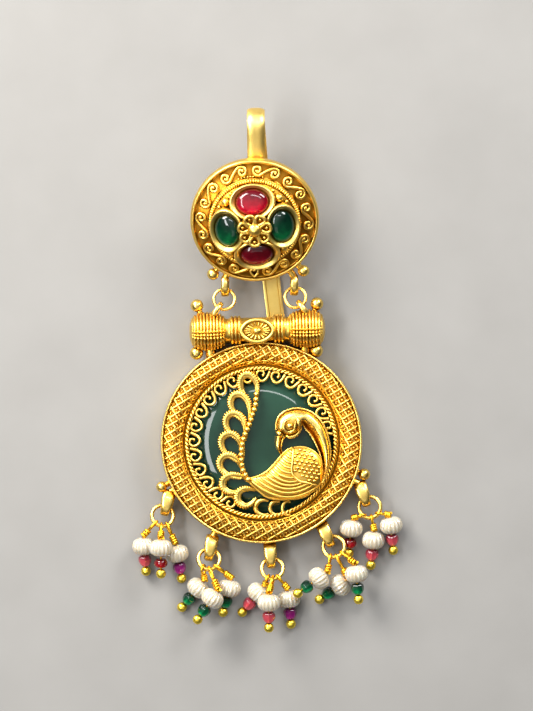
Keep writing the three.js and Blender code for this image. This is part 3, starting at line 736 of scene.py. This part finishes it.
def wing_lines():
    """Curved ridges from the back down to the divider, each sagging more than the one above."""
    starts = curve(WING_EDGE, WING_LINES)
    ends = curve(DIVIDER, WING_LINES + 1)[1:]
    for i, (start, end) in enumerate(zip(starts, ends)):
        share = i / (WING_LINES - 1)
        sag = np.linalg.norm(end - start) * (0.1 + 0.1 * share)
        low = (start + end) / 2 + np.array([0.0, -2 * sag])
        t = np.linspace(0, 1, 36)[:, None]
        path = (1 - t) ** 2 * start + 2 * t * (1 - t) * low + t ** 2 * end
        size = 0.32 * np.sin(pi * np.linspace(0.12, 0.9, 36)) ** 0.5
        yield sweep(on_body(path, 0.06), size, 12)
    yield sweep(on_body(curve(DIVIDER, 60), 0.06), 0.26, 10)
    yield sweep(on_body(BODY_MIDDLE + 0.985 * (BODY_RIM - BODY_MIDDLE), -0.1), 0.22, 8, closed=True)


def inside(points, outline):
    """True for flat points inside a closed outline."""
    held = np.zeros(len(points), bool)
    for (x1, y1), (x2, y2) in zip(outline, np.roll(outline, -1, axis=0)):
        crosses = (y1 > points[:, 1]) != (y2 > points[:, 1])
        at = (x2 - x1) * (points[:, 1] - y1) / (y2 - y1 + 1e-12) + x1
        held ^= crosses & (points[:, 0] < at)
    return held


def breast_scales():
    """Rows of small beads between the divider and the neck."""
    outline = np.array(BREAST)
    for row, y in enumerate(np.arange(-8.2, -1.0, SCALE_ROW)):
        for x in np.arange(6.3, 12.2, SCALE_PITCH):
            at = np.array([[x + (row % 2) * SCALE_PITCH / 2, y + (x - 9.0) * SCALE_SLOPE]])
            if inside(at, outline)[0]:
                yield ball(on_body(at, 0.05)[0], 0.34, 9, 6, (1.25, 0.95, 0.9))


def limb(stations, profile, each=9):
    """An arm between a left and a right edge: a plain dome that turns into the profile given."""
    rows = through([(*row["left"], *row["right"], row["top"], row["neck"]) for row in stations], each)
    share = (1 - np.cos(np.linspace(0, pi, LIMB_STEPS))) / 2
    dome = np.sqrt(1 - np.abs(2 * share - 1) ** 2.4)
    shaped = np.interp(share, *zip(*profile))
    turned = np.clip(rows[:, 5:], 0, 1)
    height = NECK_FOOT + (rows[:, 4:5] - NECK_FOOT) * ((1 - turned) * dome + turned * shaped)
    flat = rows[:, None, :2] + share[None, :, None] * (rows[:, None, 2:4] - rows[:, None, :2])
    top = np.concatenate([flat, height[:, :, None]], axis=-1)
    foot = top[:, [-1, 0]].copy()
    foot[..., 2] = STONE_TOP + GAP
    return np.concatenate([top, foot], axis=1)


def resting(rows, grid, lift):
    """A path (x, y, thickness) laid on a surface, and its thickness."""
    path = curve(rows, 60)
    points = grid.reshape(-1, 3)
    buried = np.where(points[:, 2] < NECK_FOOT, 1e3, 0)
    for row in path:
        away = np.sum((points[:, :2] - row[:2]) ** 2, axis=1) + 1e-3 + buried
        near = np.argsort(away)[:8]
        yield row[0], row[1], np.average(points[near, 2], weights=1 / away[near]) + lift, row[2]


def bird_head():
    """Head and neck in one, with the wound eye, cheek, chin, beak and the raised line round them."""
    neck = limb(NECK, NECK_PROFILE)
    beak = limb(BEAK, BEAK_PROFILE)
    yield capped(neck)
    yield capped(beak)
    turn = np.radians([row[0] for row in EYE_RING])
    eye_ring = [(EYE_AT[0] + reach * cos(at), EYE_AT[1] + reach * sin(at), thick)
                for at, (_, reach, thick) in zip(turn, EYE_RING)]
    for rows, grid, lift in ((eye_ring, neck, 0.2), (CHEEK, neck, -0.05), (CERE, beak, 0.2)):
        laid = np.array(list(resting(rows, grid, lift)))
        yield sweep(laid[:, :3], laid[:, 3], 12)
    laid = np.array(list(resting([(*EYE_AT, 0), (EYE_AT[0] + 0.1, EYE_AT[1], 0)], neck, 0.28)))
    yield ball(laid[0, :3], 0.62, 20, 13)
    chin = curve(CHIN, 60)
    yield sweep(np.column_stack([chin[:, :2], 5.7 + 0 * chin[:, 0]]), chin[:, 2], 12)
    outer, inner = neck[:, 0, :2], neck[:, LIMB_STEPS - 1, :2]
    edge = outer + 0.1 * unit(outer - inner)
    yield sweep(np.column_stack([edge, np.linspace(6.0, 5.8, len(edge))]), 0.2, 10)


# Barrel

RIB_PITCH = 0.66
# Lines along the drums, in degrees round their axis
RAISED_LINES = (94, 103, 112)
FAINT_LINES = (130, 146, 162, 178, 194)
LINE_WIDTH = 2.4
BARREL_HALF = [
    (2.5, 0), (2.5, 3.2), (2.95, 3.35), (3.0, 3.7), (2.6, 3.9), (2.95, 4.1), (3.0, 4.45), (2.6, 4.65),
    (2.95, 4.85), (2.95, 5.2), (2.5, 5.4), (2.4, 5.9), (2.5, 6.4), (2.7, 6.9),
]
DRUM = [
    (2.5, 6.3), (3.15, 6.9), (3.6, 7.9), (3.8, 9.4), (3.74, 11.0), (3.38, 12.3), (2.7, 13.05),
    (1.4, 13.5), (0.02, 13.6),
]
EYE_HALF = (3.35, 2.3)


def on_barrel(made):
    return moved(made, turn_z=BARREL_TURN, by=BARREL_AT)


def lying(made):
    """A turned shape laid with its axis along X."""
    points, faces = made
    return np.asarray(points)[:, [2, 0, 1]], faces


def drum():
    """A cushion of ribs round the axis, crossed by raised lines along it."""
    outline = curve(DRUM, 150)

    def ribs(turn, section):
        along = section[:, 1:]
        fade = np.clip((13.3 - along) / 0.5, 0, 1) * np.clip((along - 6.4) / 0.3, 0, 1)
        across = 0.36 * np.abs(np.cos(pi * along / RIB_PITCH)) ** 0.7 - 0.26
        degrees = np.degrees(turn)
        lines = sum(np.exp(-((degrees - at) / LINE_WIDTH) ** 2) for at in RAISED_LINES)
        faint = sum(np.exp(-((degrees - at) / LINE_WIDTH) ** 2) for at in FAINT_LINES)
        return fade * (across + 0.34 * lines + 0.16 * faint)

    return lathe(outline, 150, ribs)


def barrel():
    for side in (1, -1):
        for points, faces in (drum(), lathe(rounded(BARREL_HALF, 0.12), 64)):
            faces = [face[::side] for face in faces]
            yield on_barrel(lying((points * (1, 1, side), faces)))


def almond(scale, z, steps=80):
    """A pointed oval path round the plaque."""
    turn = full_turn(steps)
    wide, tall = EYE_HALF
    rise = np.sign(np.sin(turn)) * np.abs(np.sin(turn)) ** 1.2
    return np.stack([scale * wide * np.cos(turn), scale * tall * rise - 0.2, z + 0 * turn], axis=1)


def barrel_eye():
    """A pointed oval plaque with a wire frame, rays and a bead."""
    levels = ((1.0, 1.2), (1.0, 2.85), (0.8, 2.95), (0.4, 3.05), (0.02, 3.08))
    yield on_barrel(capped(np.stack([almond(scale, z) for scale, z in levels])))
    yield on_barrel(sweep(almond(0.95, 3.0), 0.42, 12, closed=True))
    middle = np.array([0, -0.2, 3.12])
    for spoke in almond(1.0, 3.12, 18):
        ends = [middle + share * (spoke - middle) for share in (0.4, 0.55, 0.74)]
        yield on_barrel(sweep(np.array(ends), (0.12, 0.22, 0.26), 8))
    yield on_barrel(ball((0, -0.2, 3.2), 0.72, 18, 11, (1.3, 0.95, 0.9)))


# Balls, bails and eyelets

BALLS = table("at from radius", [
    ((-12.9, 27.4, 4.0), (-11.6, 24.4, 4.0), 1.3),
    ((11.1, 27.8, 4.0), (10.2, 25.0, 4.0), 1.3),
    ((-13.0, 17.9, 4.0), (-12.2, 19.8, 3.6), 1.35),
    ((11.0, 18.4, 4.0), (10.6, 20.6, 3.6), 1.35),
    ((-20.0, -8.9, 3.0), (-18.0, -7.9, 2.6), 1.1),
    ((20.6, -6.4, 3.0), (18.6, -5.8, 2.6), 1.2),
])
LINKS = table("name at eyelet bail ball", [
    ("link_ring_left", (-7.44, 28.66, 4.8), 235, (-5.93, -14.1, 1.0), (-8.34, -11.58)),
    ("link_ring_right", (6.78, 29.05, 4.8), -55, (7.92, -13.9, 1.0), (9.74, -10.87)),
])


def bar(start, end, radius, sides=14):
    path = np.array([start, np.mean([start, end], axis=0), end], float)
    return sweep(path, radius, sides, up=(0.3, 0.1, 1))


def bail(half, width, taper=0.3):
    """An oval strap, its hole along X and its length along Y, slimmer at its far end and convex outside."""
    turn = full_turn(56)
    middle_long, middle_tall = half - 0.28, 1.17
    centre = np.stack([0 * turn, middle_long * np.sin(turn), middle_tall * np.cos(turn)], axis=1)
    outward = unit(np.stack([0 * turn, np.sin(turn) / middle_long, np.cos(turn) / middle_tall], axis=1))
    across = np.array([1.0, 0, 0])
    around = full_turn(18)
    broad = width / 2 * (1 - taper * np.clip(np.sin(turn) + 0.3, 0, 1) ** 2)
    aside = np.sign(np.cos(around)) * np.abs(np.cos(around)) ** 0.62
    thick = np.where(np.sin(around) > 0, 0.5, 0.24) * np.sin(around)
    grid = centre[:, None, :] + (broad[:, None] * aside[None, :])[:, :, None] * across
    grid = grid + thick[None, :, None] * outward[:, None, :]
    return surface(grid[:, ::-1], wrap_rows=True)


def eyelets():
    for row in LINKS:
        turn = radians(row["eyelet"])
        reach = LINK_RADIUS + 0.7
        lift = -sin(turn) * LINK_RADIUS * sin(radians(LINK_TILT))
        x, y, z = row["at"]
        at = (x + reach * cos(turn), y + reach * sin(turn), z + lift)
        yield moved(bail(1.85, 1.1, 0.0), turn_z=row["eyelet"] - 90, by=at)


def rim_bails():
    for row in BUNCHES:
        turn = radians(row["turn"])
        top = np.array([row["bail"][0] - 2.1 * cos(turn), row["bail"][1] - 2.1 * sin(turn), BAIL_Z])
        inner = np.array([*(top[:2] * (RIM_RADIUS - 0.8) / np.hypot(*top[:2])), BAIL_Z])
        yield moved(bail(2.5, 2.6, 0.3), turn_z=row["turn"] - 90, by=(*row["bail"], BAIL_Z))
        yield bar(inner, top, 0.75)


def side_balls():
    for row in BALLS:
        yield ball(row["at"], row["radius"], 26, 17)
        yield bar(row["from"], row["at"], 0.6)


def feet():
    """Metal that runs from under each drum into the rim."""
    for side in (1, -1):
        yield on_barrel(bar((9.5 * side, -2.6, -0.4), (9.31 * side, -6.6, -0.6), 1.1))


# Disc

DISC_SECTION = [
    (0, 0), (12.4, 0), (12.85, 0.5), (12.85, 1.75), (12.6, 2.2), (12.2, 2.2), (12.0, 1.5), (9.35, 2.3),
    (9.2, 2.9), (8.5, 3.35), (6.6, 4.5), (0, 5.5),
]
DOME = [(0, 5.5), (6.6, 4.5), (8.8, 3.2)]
HALF_HEART = [(0, -0.9), (0.55, -0.2), (0.75, 0.45), (0.35, 0.75), (0.05, 0.35)]
DISC_SCROLLS = {"count": 10, "first": 72.5, "orbit": 10.68, "wire": 0.34, "cut_short": 5, "cut_from": 38}
BEZEL_SECTION = [
    (3.2, -1.6), (3.6, -0.4), (3.66, 1.0), (3.58, 1.5), (3.4, 1.68), (3.2, 1.55), (2.76, 1.12),
    (2.66, 0.85), (0.01, 0.75),
]
CABOCHON_SECTION = [(0, 0), (2.4, 0), (2.56, 0.35), (2.4, 0.95), (1.6, 1.5), (0, 1.72)]
CABOCHONS = {"ruby_top": 0, "emerald_left": 90, "ruby_bottom": 180, "emerald_right": 270}
PETALS = 7
MILLED_RING = {"radius": 8.75, "height": 3.25, "notches": 110}
FLOWER_HEIGHT = 7.75
# Grains in each gap: distance from the middle, degrees aside, radius
GRAINS = [(7.45, 0, 1.0), (7.9, 13, 0.46), (7.9, -13, 0.46), (6.2, 8, 0.36), (6.2, -8, 0.36)]


def seated(made):
    """Takes a shape from the disc's own frame to where the disc leans."""
    return moved(made, turn_x=DISC_TILT, first_by=DISC_AT)


def spun(made):
    return seated(moved(made, turn_z=DISC_SPIN))


def on_disc(made, angle):
    leant = moved(made, turn_x=-BEZEL_LEAN, first_by=(0, BEZEL_ORBIT, BEZEL_HEIGHT), turn_z=angle + DISC_SPIN)
    return seated(moved(leant, by=(0, BEZEL_SHIFT, 0)))


def disc_plate():
    yield spun(lathe(rounded(DISC_SECTION, 0.25), 128))
    turn = full_turn(1120)
    path = polar(MILLED_RING["radius"], turn, MILLED_RING["height"])
    yield spun(sweep(path, 0.34 + 0.2 * np.abs(np.sin(MILLED_RING["notches"] / 2 * turn)), 8, closed=True))


def disc_channel():
    """The floor that the scrolls lie on, dark with patina and painted shade."""
    return spun(lathe([(12.08, 1.56), (12.0, 1.54), (10.8, 1.93), (9.42, 2.36)], 96))


def double_scroll():
    """One S of wire: two spirals wound opposite ways, joined by a slanting run."""
    turn = np.radians(np.linspace(-500, -50, 17))
    reach = 0.2 + 0.84 * np.linspace(0, 1, 17) ** 0.8
    first = np.stack([-1.75 + reach * np.cos(turn), reach * np.sin(turn), 0 * turn], axis=1)
    return curve(np.vstack([first, -first[::-1]]), 90)


def disc_scrolls():
    orbit, wire, count = DISC_SCROLLS["orbit"], DISC_SCROLLS["wire"], DISC_SCROLLS["count"]
    for i in range(count):
        flat = double_scroll()
        if i == DISC_SCROLLS["cut_short"]:
            flat = flat[DISC_SCROLLS["cut_from"]:]
        angle = radians(DISC_SCROLLS["first"] - 360 * i / count)
        radius = orbit + flat[:, 1]
        bearing = angle - flat[:, 0] / orbit
        height = 2.15 + (orbit - radius) * 0.33
        path = polar(radius, bearing, height)
        yield spun(sweep(path, wire, 9))
        for end in (path[0], path[-1]):
            yield spun(ball(end, 0.38, 10, 7))
    for side in (1, -1):
        heart = np.array(HALF_HEART) * (side, 1)
        path = curve([(x - 1.0, -orbit - 0.1 + y, 2.2) for x, y in heart], 30)
        yield spun(sweep(path, 0.24, 8))
    for x in np.arange(-2.4, 2.6, 0.6):
        yield spun(ball((x, sqrt(9.5 ** 2 - x * x), 2.5), 0.22, 8, 6))


def bezels():
    for angle in CABOCHONS.values():
        yield on_disc(moved(lathe(rounded(BEZEL_SECTION, 0.14), 72), stretch=(OVAL_RATIO, 1, 1)), angle)


def cabochon(angle):
    outline = curve(CABOCHON_SECTION[1:], 34)
    section = np.vstack([[(0.001, 0)], outline])
    return on_disc(moved(lathe(section, 64), stretch=(OVAL_RATIO, 1, 1), by=(0, 0, 0.5)), angle)


def granules():
    """Clusters of grains in the gaps between the settings."""
    for quarter in range(4):
        angle = radians(45 + 90 * quarter)
        for radius, aside, size in GRAINS:
            turn = angle + radians(aside)
            height = np.interp(radius, *zip(*DOME))
            at = (radius * cos(turn), radius * sin(turn), height + 0.45 * size)
            yield spun(ball(at, size, 14, 9))


def petal():
    """A teardrop of wire, its point at the flower's middle, with a bead in its round end."""
    turn = full_turn(30)
    along = 0.95 + 1.15 * (1 - np.cos(turn))
    across = 1.24 * np.sin(turn) * np.abs(np.sin(turn / 2))
    path = np.stack([across, along, FLOWER_HEIGHT + 0.05 * along], axis=1)
    return sweep(path, 0.33, 10, closed=True), ball((0, 2.5, FLOWER_HEIGHT + 0.02), 0.34, 14, 9)


def flower_cup():
    """The cup on a post that the petals lie in, dark with patina and painted shade."""
    section = [(1.9, 4.4), (1.3, 6.3), (2.4, 7.1), (3.1, 7.35), (3.0, 7.55), (1.6, 7.5), (0.01, 7.5)]
    return spun(lathe(rounded(section, 0.15), 42))


def flower():
    """Seven hollow petals, each holding a bead, round a bright cut middle."""
    for i in range(PETALS):
        for part in petal():
            yield spun(moved(part, turn_z=180 - DISC_SPIN + 360 * i / PETALS))
    yield spun(lathe([(0.01, 7.3), (1.5, 7.7), (1.45, 8.1), (0.95, 8.62), (0.02, 8.9)], 9))


def disc_hangers():
    for row in LINKS:
        x, along, height = row["bail"]
        inner = (DISC_RADIUS - 0.7) / hypot(x, along + 1.7)
        shelf = (DISC_RADIUS - 0.7) / hypot(*row["ball"])
        yield seated(moved(bail(2.0, 1.7, 0.1), by=row["bail"]))
        yield seated(bar((x * inner, (along + 1.7) * inner, height), (x, along + 1.7, height), 0.7))
        yield seated(ball((*row["ball"], height), 1.2, 26, 17))
        yield seated(bar((*(np.array(row["ball"]) * shelf), height), (*row["ball"], height), 0.6))


# Hook

STRIP_START = {"x": -0.8, "along": -7}
STRIP_BEND = {"x": -1.1, "along": 18, "turn_end": -68}
# Half the strip's section, in shares of its half width and half thickness, and then in from its side in mm
STRIP_BACK = [(0, 0.96), (0.15, 1), (0.4, 0.97), (0.65, 0.78), (0.86, 0.45), (1, 0)]
STRIP_EDGE = [(0, -0.85), (0.2, -1), (0.5, -0.95), (0.62, -0.55)]
STRIP_TAIL = [(-0.1, 52.0, 2.75), (0.6, 46.0, 0.75), (1.1, 41.0, 0.52), (2.0, 32.3, 0.43), (2.9, 24.9, 0.43)]


def hook():
    """A strip from behind the disc over the bend to its tail, rounded outside, with raised edges inside."""
    tilt = radians(DISC_TILT)
    under = -GAP - STRIP_THICKNESS / 2

    def on_back(x, along):
        return np.array([x, DISC_AT[1] + along * cos(tilt) - under * sin(tilt),
                         DISC_AT[2] + along * sin(tilt) + under * cos(tilt)])

    points = []
    for share in (0, 0.35, 0.7, 0.9):
        x = STRIP_START["x"] + share * (STRIP_BEND["x"] - STRIP_START["x"])
        points.append(on_back(x, STRIP_START["along"] + share * (STRIP_BEND["along"] - STRIP_START["along"])))
    middle = on_back(STRIP_BEND["x"], STRIP_BEND["along"])
    middle = middle + BEND_RADIUS * np.array([0, sin(tilt), -cos(tilt)])
    for turn in np.radians(np.linspace(90 + DISC_TILT, STRIP_BEND["turn_end"], 9)):
        points.append(middle + BEND_RADIUS * np.array([0, cos(turn), sin(turn)]))
    points += [np.array(row) for row in STRIP_TAIL]
    path = curve(points, 160)
    along = tangents(path)
    outward = np.cross(np.array([1.0, 0, 0]), along)
    half, thick = STRIP_WIDTH / 2, STRIP_THICKNESS / 2
    outline = [(across * half, rise * thick) for across, rise in STRIP_BACK]
    outline += [(half - inset, rise * thick) for inset, rise in STRIP_EDGE]
    mirrored = [(-x, z) for x, z in outline[:0:-1]]
    return swept_section(path, outline + mirrored, outward)


# Rings and drops

TIP_SECTION = [
    (0.22, -0.98), (0.55, -0.86), (0.88, -0.52), (TIP_RADIUS, 0), (0.88, 0.5), (0.55, 0.84), (0.2, 0.95),
    (0.14, 0.82), (0.01, 0.78),
]
ROUND_BEAD = [(BORE, -0.8), (0.8, -0.92), (1.25, -0.5), (1.36, 0), (1.25, 0.5), (0.8, 0.92), (BORE, 0.8)]
CUT_BEAD = [
    (BORE, -1.05), (0.8, -BEAD_HALF), (1.18, -0.85), (BEAD_RADIUS, -0.3), (1.2, 0.35), (0.9, 0.9),
    (0.55, BEAD_HALF), (BORE, 1.05),
]
COIL_RADIUS = 0.46
FLUTES = 16
FLUTE_DEPTH = 0.085
DROP_COLUMNS = "at pearl heading rise bead"
BUNCHES = table("bail turn ring tilt drops", [
    ((-18.9, -12.1), -104, (-19.8, -14.7), 16, [
        (-25, (-23.6, -20.8, 2.45), -85, -15, "rose"),
        (10, (-20.1, -21.1, 5.7), -90, -10, "ruby"),
        (45, (-16.9, -22.3, 2.45), -80, -15, "violet"),
    ]),
    ((-10.2, -21.1), -101, (-10.5, -23.4), 20, [
        (-25, (-12.7, -29.2, 2.45), -130, -15, "leaf"),
        (10, (-9.8, -31.2, 5.6), -125, -10, "leaf"),
        (50, (-6.4, -29.2, 2.45), -105, -15, "leaf"),
    ]),
    ((1.8, -22.6), -86, (2.2, -25.3), 20, [
        (-35, (-0.6, -30.2, 2.45), -130, -15, "rose"),
        (-5, (1.5, -32.0, 6.2), -90, -15, "rose"),
        (25, (5.5, -31.4, 2.45), -85, -15, "violet"),
    ]),
    ((13.0, -18.5), -66, (14.5, -20.9), 13, [
        (-50, (11.5, -27.2, 4.6), -145, 10, "leaf"),
        (-15, (15.8, -28.6, 2.45), -145, -15, "leaf"),
        (20, (19.0, -26.3, 5.0), -85, -10, "leaf"),
    ]),
    ((20.4, -10.3), -71, (21.7, -13.0), 8, [
        (-65, (18.0, -17.2, 2.45), -95, -15, "ruby"),
        (-15, (22.4, -19.6, 2.45), -95, -15, "rose"),
        (30, (26.0, -16.6, 2.45), -85, -15, "rose"),
    ]),
])


def link_ring(row):
    tilt = radians(LINK_TILT)
    return ring(row["at"], LINK_RADIUS, LINK_WIRE, axis=(0, sin(tilt), cos(tilt)))


def ring_frame(row):
    bail_at, ring_at = np.array(row["bail"]), np.array(row["ring"])
    heading = atan2(*(ring_at - bail_at)[::-1])
    tilt = radians(row["tilt"])
    out = direction(heading, tilt)
    across = np.array([-sin(heading), cos(heading), 0])
    centre = np.array([*row["ring"], BAIL_Z + DROP_RING_RADIUS * sin(tilt)])
    return out, across, centre


def drop_ring(row):
    out, across, centre = ring_frame(row)
    return ring(centre, DROP_RING_RADIUS, DROP_RING_WIRE, axis=np.cross(out, across))


def hanging(row, drop):
    """Where a drop's neck and straight part lie: origin and three axes of each, and the neck's length."""
    out, across, centre = ring_frame(row)
    at, heading, rise = (radians(drop[key]) for key in ("at", "heading", "rise"))
    line = direction(heading, rise)
    on_ring = centre + DROP_RING_RADIUS * (cos(at) * out + sin(at) * across)
    neck = np.array(drop["pearl"]) - PEARL_TO_BEND * line - on_ring
    length = np.linalg.norm(neck) - LOOP_PLAY
    neck = unit(neck)
    run = cos(at) * across - sin(at) * out
    axle = unit(run - neck * np.dot(run, neck))
    loop_axes = np.stack([axle, np.cross(neck, axle), neck])
    level = np.array([-sin(heading), cos(heading), 0])
    straight_axes = np.stack([level, np.cross(line, level), line])
    return (on_ring + LOOP_PLAY * neck, loop_axes), (np.array(drop["pearl"]), straight_axes), length


def placed(made, seat):
    points, faces = made
    origin, axes = seat
    return np.asarray(points) @ axes + origin, faces


def pin_neck(length):
    """A long loop of wire that hangs on the ring, and the wire's end wound above the pearl."""
    low, high = -0.78, 0.55 * length
    turn = full_turn(44)
    across = 0.95 * np.sin(turn) * np.abs(np.sin(turn / 2)) ** 0.4
    along = high + (low - high) * (1 - np.cos(turn)) / 2
    loop = np.stack([0 * turn, across, along], axis=1)
    yield sweep(loop, PIN_WIRE + 0.07, 10, closed=True, up=(1, 0, 0))
    turns = max(3, round((length - high) / COIL_RADIUS))
    turn = np.linspace(0, 2 * pi * turns, turns * 16)
    height = np.linspace(high - 0.1, length + 0.1, len(turn))
    yield sweep(polar(COIL_RADIUS, turn, height), 0.28, 8)
    yield sweep(np.array([(0, 0, high), (0, 0, 0.8 * length), (0, 0, length)]), PIN_WIRE, 8, up=(1, 0, 0))


def pin_shank():
    shank = np.array([(0, 0, -PEARL_TO_BEND), (0, 0, 0), (0, 0, PEARL_TO_TIP - 0.5)])
    return sweep(shank, PIN_WIRE, 8, up=(1, 0, 0))


def pin_tip():
    return moved(lathe(rounded(TIP_SECTION, 0.12), 22), by=(0, 0, PEARL_TO_TIP))


def melon_pearl():
    lift = np.linspace(-0.5 * pi, 0.5 * pi, 26)
    radius = np.maximum(PEARL_RADIUS * np.cos(lift) ** 0.75, BORE)
    height = PEARL_HALF * np.sin(lift)

    def flutes(turn, section):
        groove = 0.5 + 0.5 * np.cos(FLUTES * turn)
        return -FLUTE_DEPTH * section[:, :1] * groove * np.clip(section[:, :1] / 1.2 - 0.2, 0, 1)

    return lathe(np.stack([radius, height], axis=1), 180, flutes)


def glass_bead(kind):
    """A round bead for the ruby ones and a cut one, tapered to its tip, for the others."""
    section, sides = (ROUND_BEAD, 28) if kind == "ruby" else (CUT_BEAD, 8)
    return moved(lathe(rounded(section, 0.3), sides), by=(0, 0, PEARL_TO_BEAD))


# The pieces

def build_medallion():
    base = lathe(rounded(MEDALLION_SECTION, 0.22), 160)
    face, slope = woven_band()
    make_gold("medallion", [
        ("medallion_cup", base, POLISHED, 40),
        ("woven_band", face, WOVEN, 80),
        ("woven_slope", slope, ORANGE, 80),
        ("band_groove", band_groove(), ORANGE, 60),
        ("rope_border", rope_ring(**ROPE), CAST, 80),
        ("scroll_border", scroll_border(), CAST, 80),
        ("feathers", feathers(), CAST, 80),
        ("beaded_stem", stem(), CAST, 80),
        ("bird_body", bird_body(), CAST, 60),
        ("wing_lines", wing_lines(), CAST, 80),
        ("breast_scales", breast_scales(), CAST, 80),
        ("bird_head", bird_head(), POLISHED, 60),
        ("barrel", barrel(), CAST, 80),
        ("barrel_eye", barrel_eye(), CAST, 60),
        ("side_balls", side_balls(), POLISHED, 60),
        ("eyelets", eyelets(), POLISHED, 60),
        ("rim_bails", rim_bails(), POLISHED, 60),
        ("barrel_feet", feet(), POLISHED, 60),
    ])
    make("cabochon_green", visual_stone(), GREEN, "green_stone", 60)


def build_disc():
    make_gold("top_disc", [
        ("disc_plate", disc_plate(), CAST, 50),
        ("disc_channel", disc_channel(), SHADED_ANTIQUE, 80),
        ("disc_scrolls", disc_scrolls(), CAST, 80),
        ("bezels", bezels(), SETTING, 60),
        ("granules", granules(), CAST, 80),
        ("flower_cup", flower_cup(), SHADED_ANTIQUE, 40),
        ("flower", flower(), CAST, 40),
        ("disc_hangers", disc_hangers(), POLISHED, 60),
    ])
    gems = {"ruby_top": RUBY, "ruby_bottom": GARNET, "emerald_left": EMERALD, "emerald_right": EMERALD}
    for node, angle in CABOCHONS.items():
        make("gem_" + node, cabochon(angle), gems[node], node, 60)


def build_drop(row, drop, key):
    loop_seat, straight_seat, length = hanging(row, drop)
    wire = [placed(joined(pin_neck(length)), loop_seat), placed(pin_shank(), straight_seat)]
    tip = placed(pin_tip(), straight_seat)
    make_gold("pin_" + key, [("wire_" + key, wire, WIRE, 80), ("tip_" + key, tip, TIP, 50)])
    make("melon_" + key, placed(melon_pearl(), straight_seat), PEARL, "pearl_" + key, 80)
    kind = drop["bead"]
    bead = placed(glass_bead(kind), straight_seat)
    make("glass_" + key, bead, GLASS[kind], "bead_" + key, 30)


def build_rings_and_drops():
    for row in LINKS:
        make(row["name"] + "_wire", link_ring(row), POLISHED, row["name"], 80)
    for number, row in enumerate(BUNCHES, 1):
        make("jump_ring_%d" % number, drop_ring(row), POLISHED, "drop_ring_%d" % number, 80)
        for letter, drop in zip("abc", table(DROP_COLUMNS, row["drops"])):
            build_drop(row, drop, "%d%s" % (number, letter))


# Stage, light and camera

VIEW_MIDDLE = (1.02, 17.42)
VIEW_HEIGHT = 142.2
VIEW_LEVEL = 6.0
CAMERA_HEIGHT = 1400.0
SENSOR = 36.0
FLOOR_HALF = 1.5
LAMP_AIM_Y = 0.015
SKY_MIDDLE = (-0.2, 0.26, 0.94)
# How far towards the sky's middle, brightness
SKY_TONES = [(0.0, 0.05), (0.45, 0.09), (0.78, 0.55), (1.0, 1.16)]


def build_floor():
    mesh = bpy.data.meshes.new("floor")
    corners = [(x * FLOOR_HALF, y * FLOOR_HALF, 0) for x, y in ((-1, -1), (1, -1), (1, 1), (-1, 1))]
    mesh.from_pydata(corners, [], [(0, 1, 2, 3)])
    mesh.materials.append(floor_paper())
    floor = new_object("floor", mesh)


def softbox(name, at, size, power, colour=(1, 1, 1)):
    light = bpy.data.lights.new(name, "AREA")
    light.shape = "RECTANGLE"
    light.size, light.size_y = size
    light.energy = power
    light.color = colour
    lamp = new_object(name, light)
    lamp.location = np.array(at) * MM
    aim = lamp.location.copy()
    aim.y -= LAMP_AIM_Y
    lamp.rotation_euler = aim.to_track_quat("Z", "Y").to_euler()


def build_light():
    """A dim room, brightest overhead and to the upper left, with two soft lamps and three panels."""
    world = bpy.data.worlds.new("studio")
    tree = Tree(world)
    way = tree.add("VectorMath", {0: tree.place["Generated"], 1: SKY_MIDDLE}, operation="DOT_PRODUCT")
    sky = tree.ramp(way.outputs["Value"], [(at, (tone,) * 3) for at, tone in SKY_TONES])
    tree.feed(tree.nodes["Background"], {"Color": sky})
    bpy.context.scene.world = world
    softbox("key_light", (-283, 337, 275), (0.3, 0.2), 5.4, (1, 0.97, 0.92))
    softbox("back_light", (260, 330, 260), (0.2, 0.14), 2.1)
    softbox("left_panel", (-290, 0, 410), (0.36, 0.08), 1.6)
    softbox("top_panel", (53, 212, 450), (0.228, 0.042), 0.5)
    softbox("front_panel", (0, -386, 470), (0.36, 0.2), 0.17)


def build_look():
    bpy.context.scene.view_settings.view_transform = "Standard"


def build_camera():
    data = bpy.data.cameras.new("camera")
    data.sensor_width = SENSOR
    data.lens = SENSOR * (CAMERA_HEIGHT - VIEW_LEVEL) / VIEW_HEIGHT
    data.clip_start, data.clip_end = 0.01, 10
    camera = new_object("camera", data)
    camera.location = np.array([*VIEW_MIDDLE, CAMERA_HEIGHT]) * MM
    bpy.context.scene.camera = camera


build_medallion()
build_disc()
make("strip_hook", hook(), SATIN, "hook", 40)
build_rings_and_drops()
build_floor()
build_light()
build_look()
build_camera()
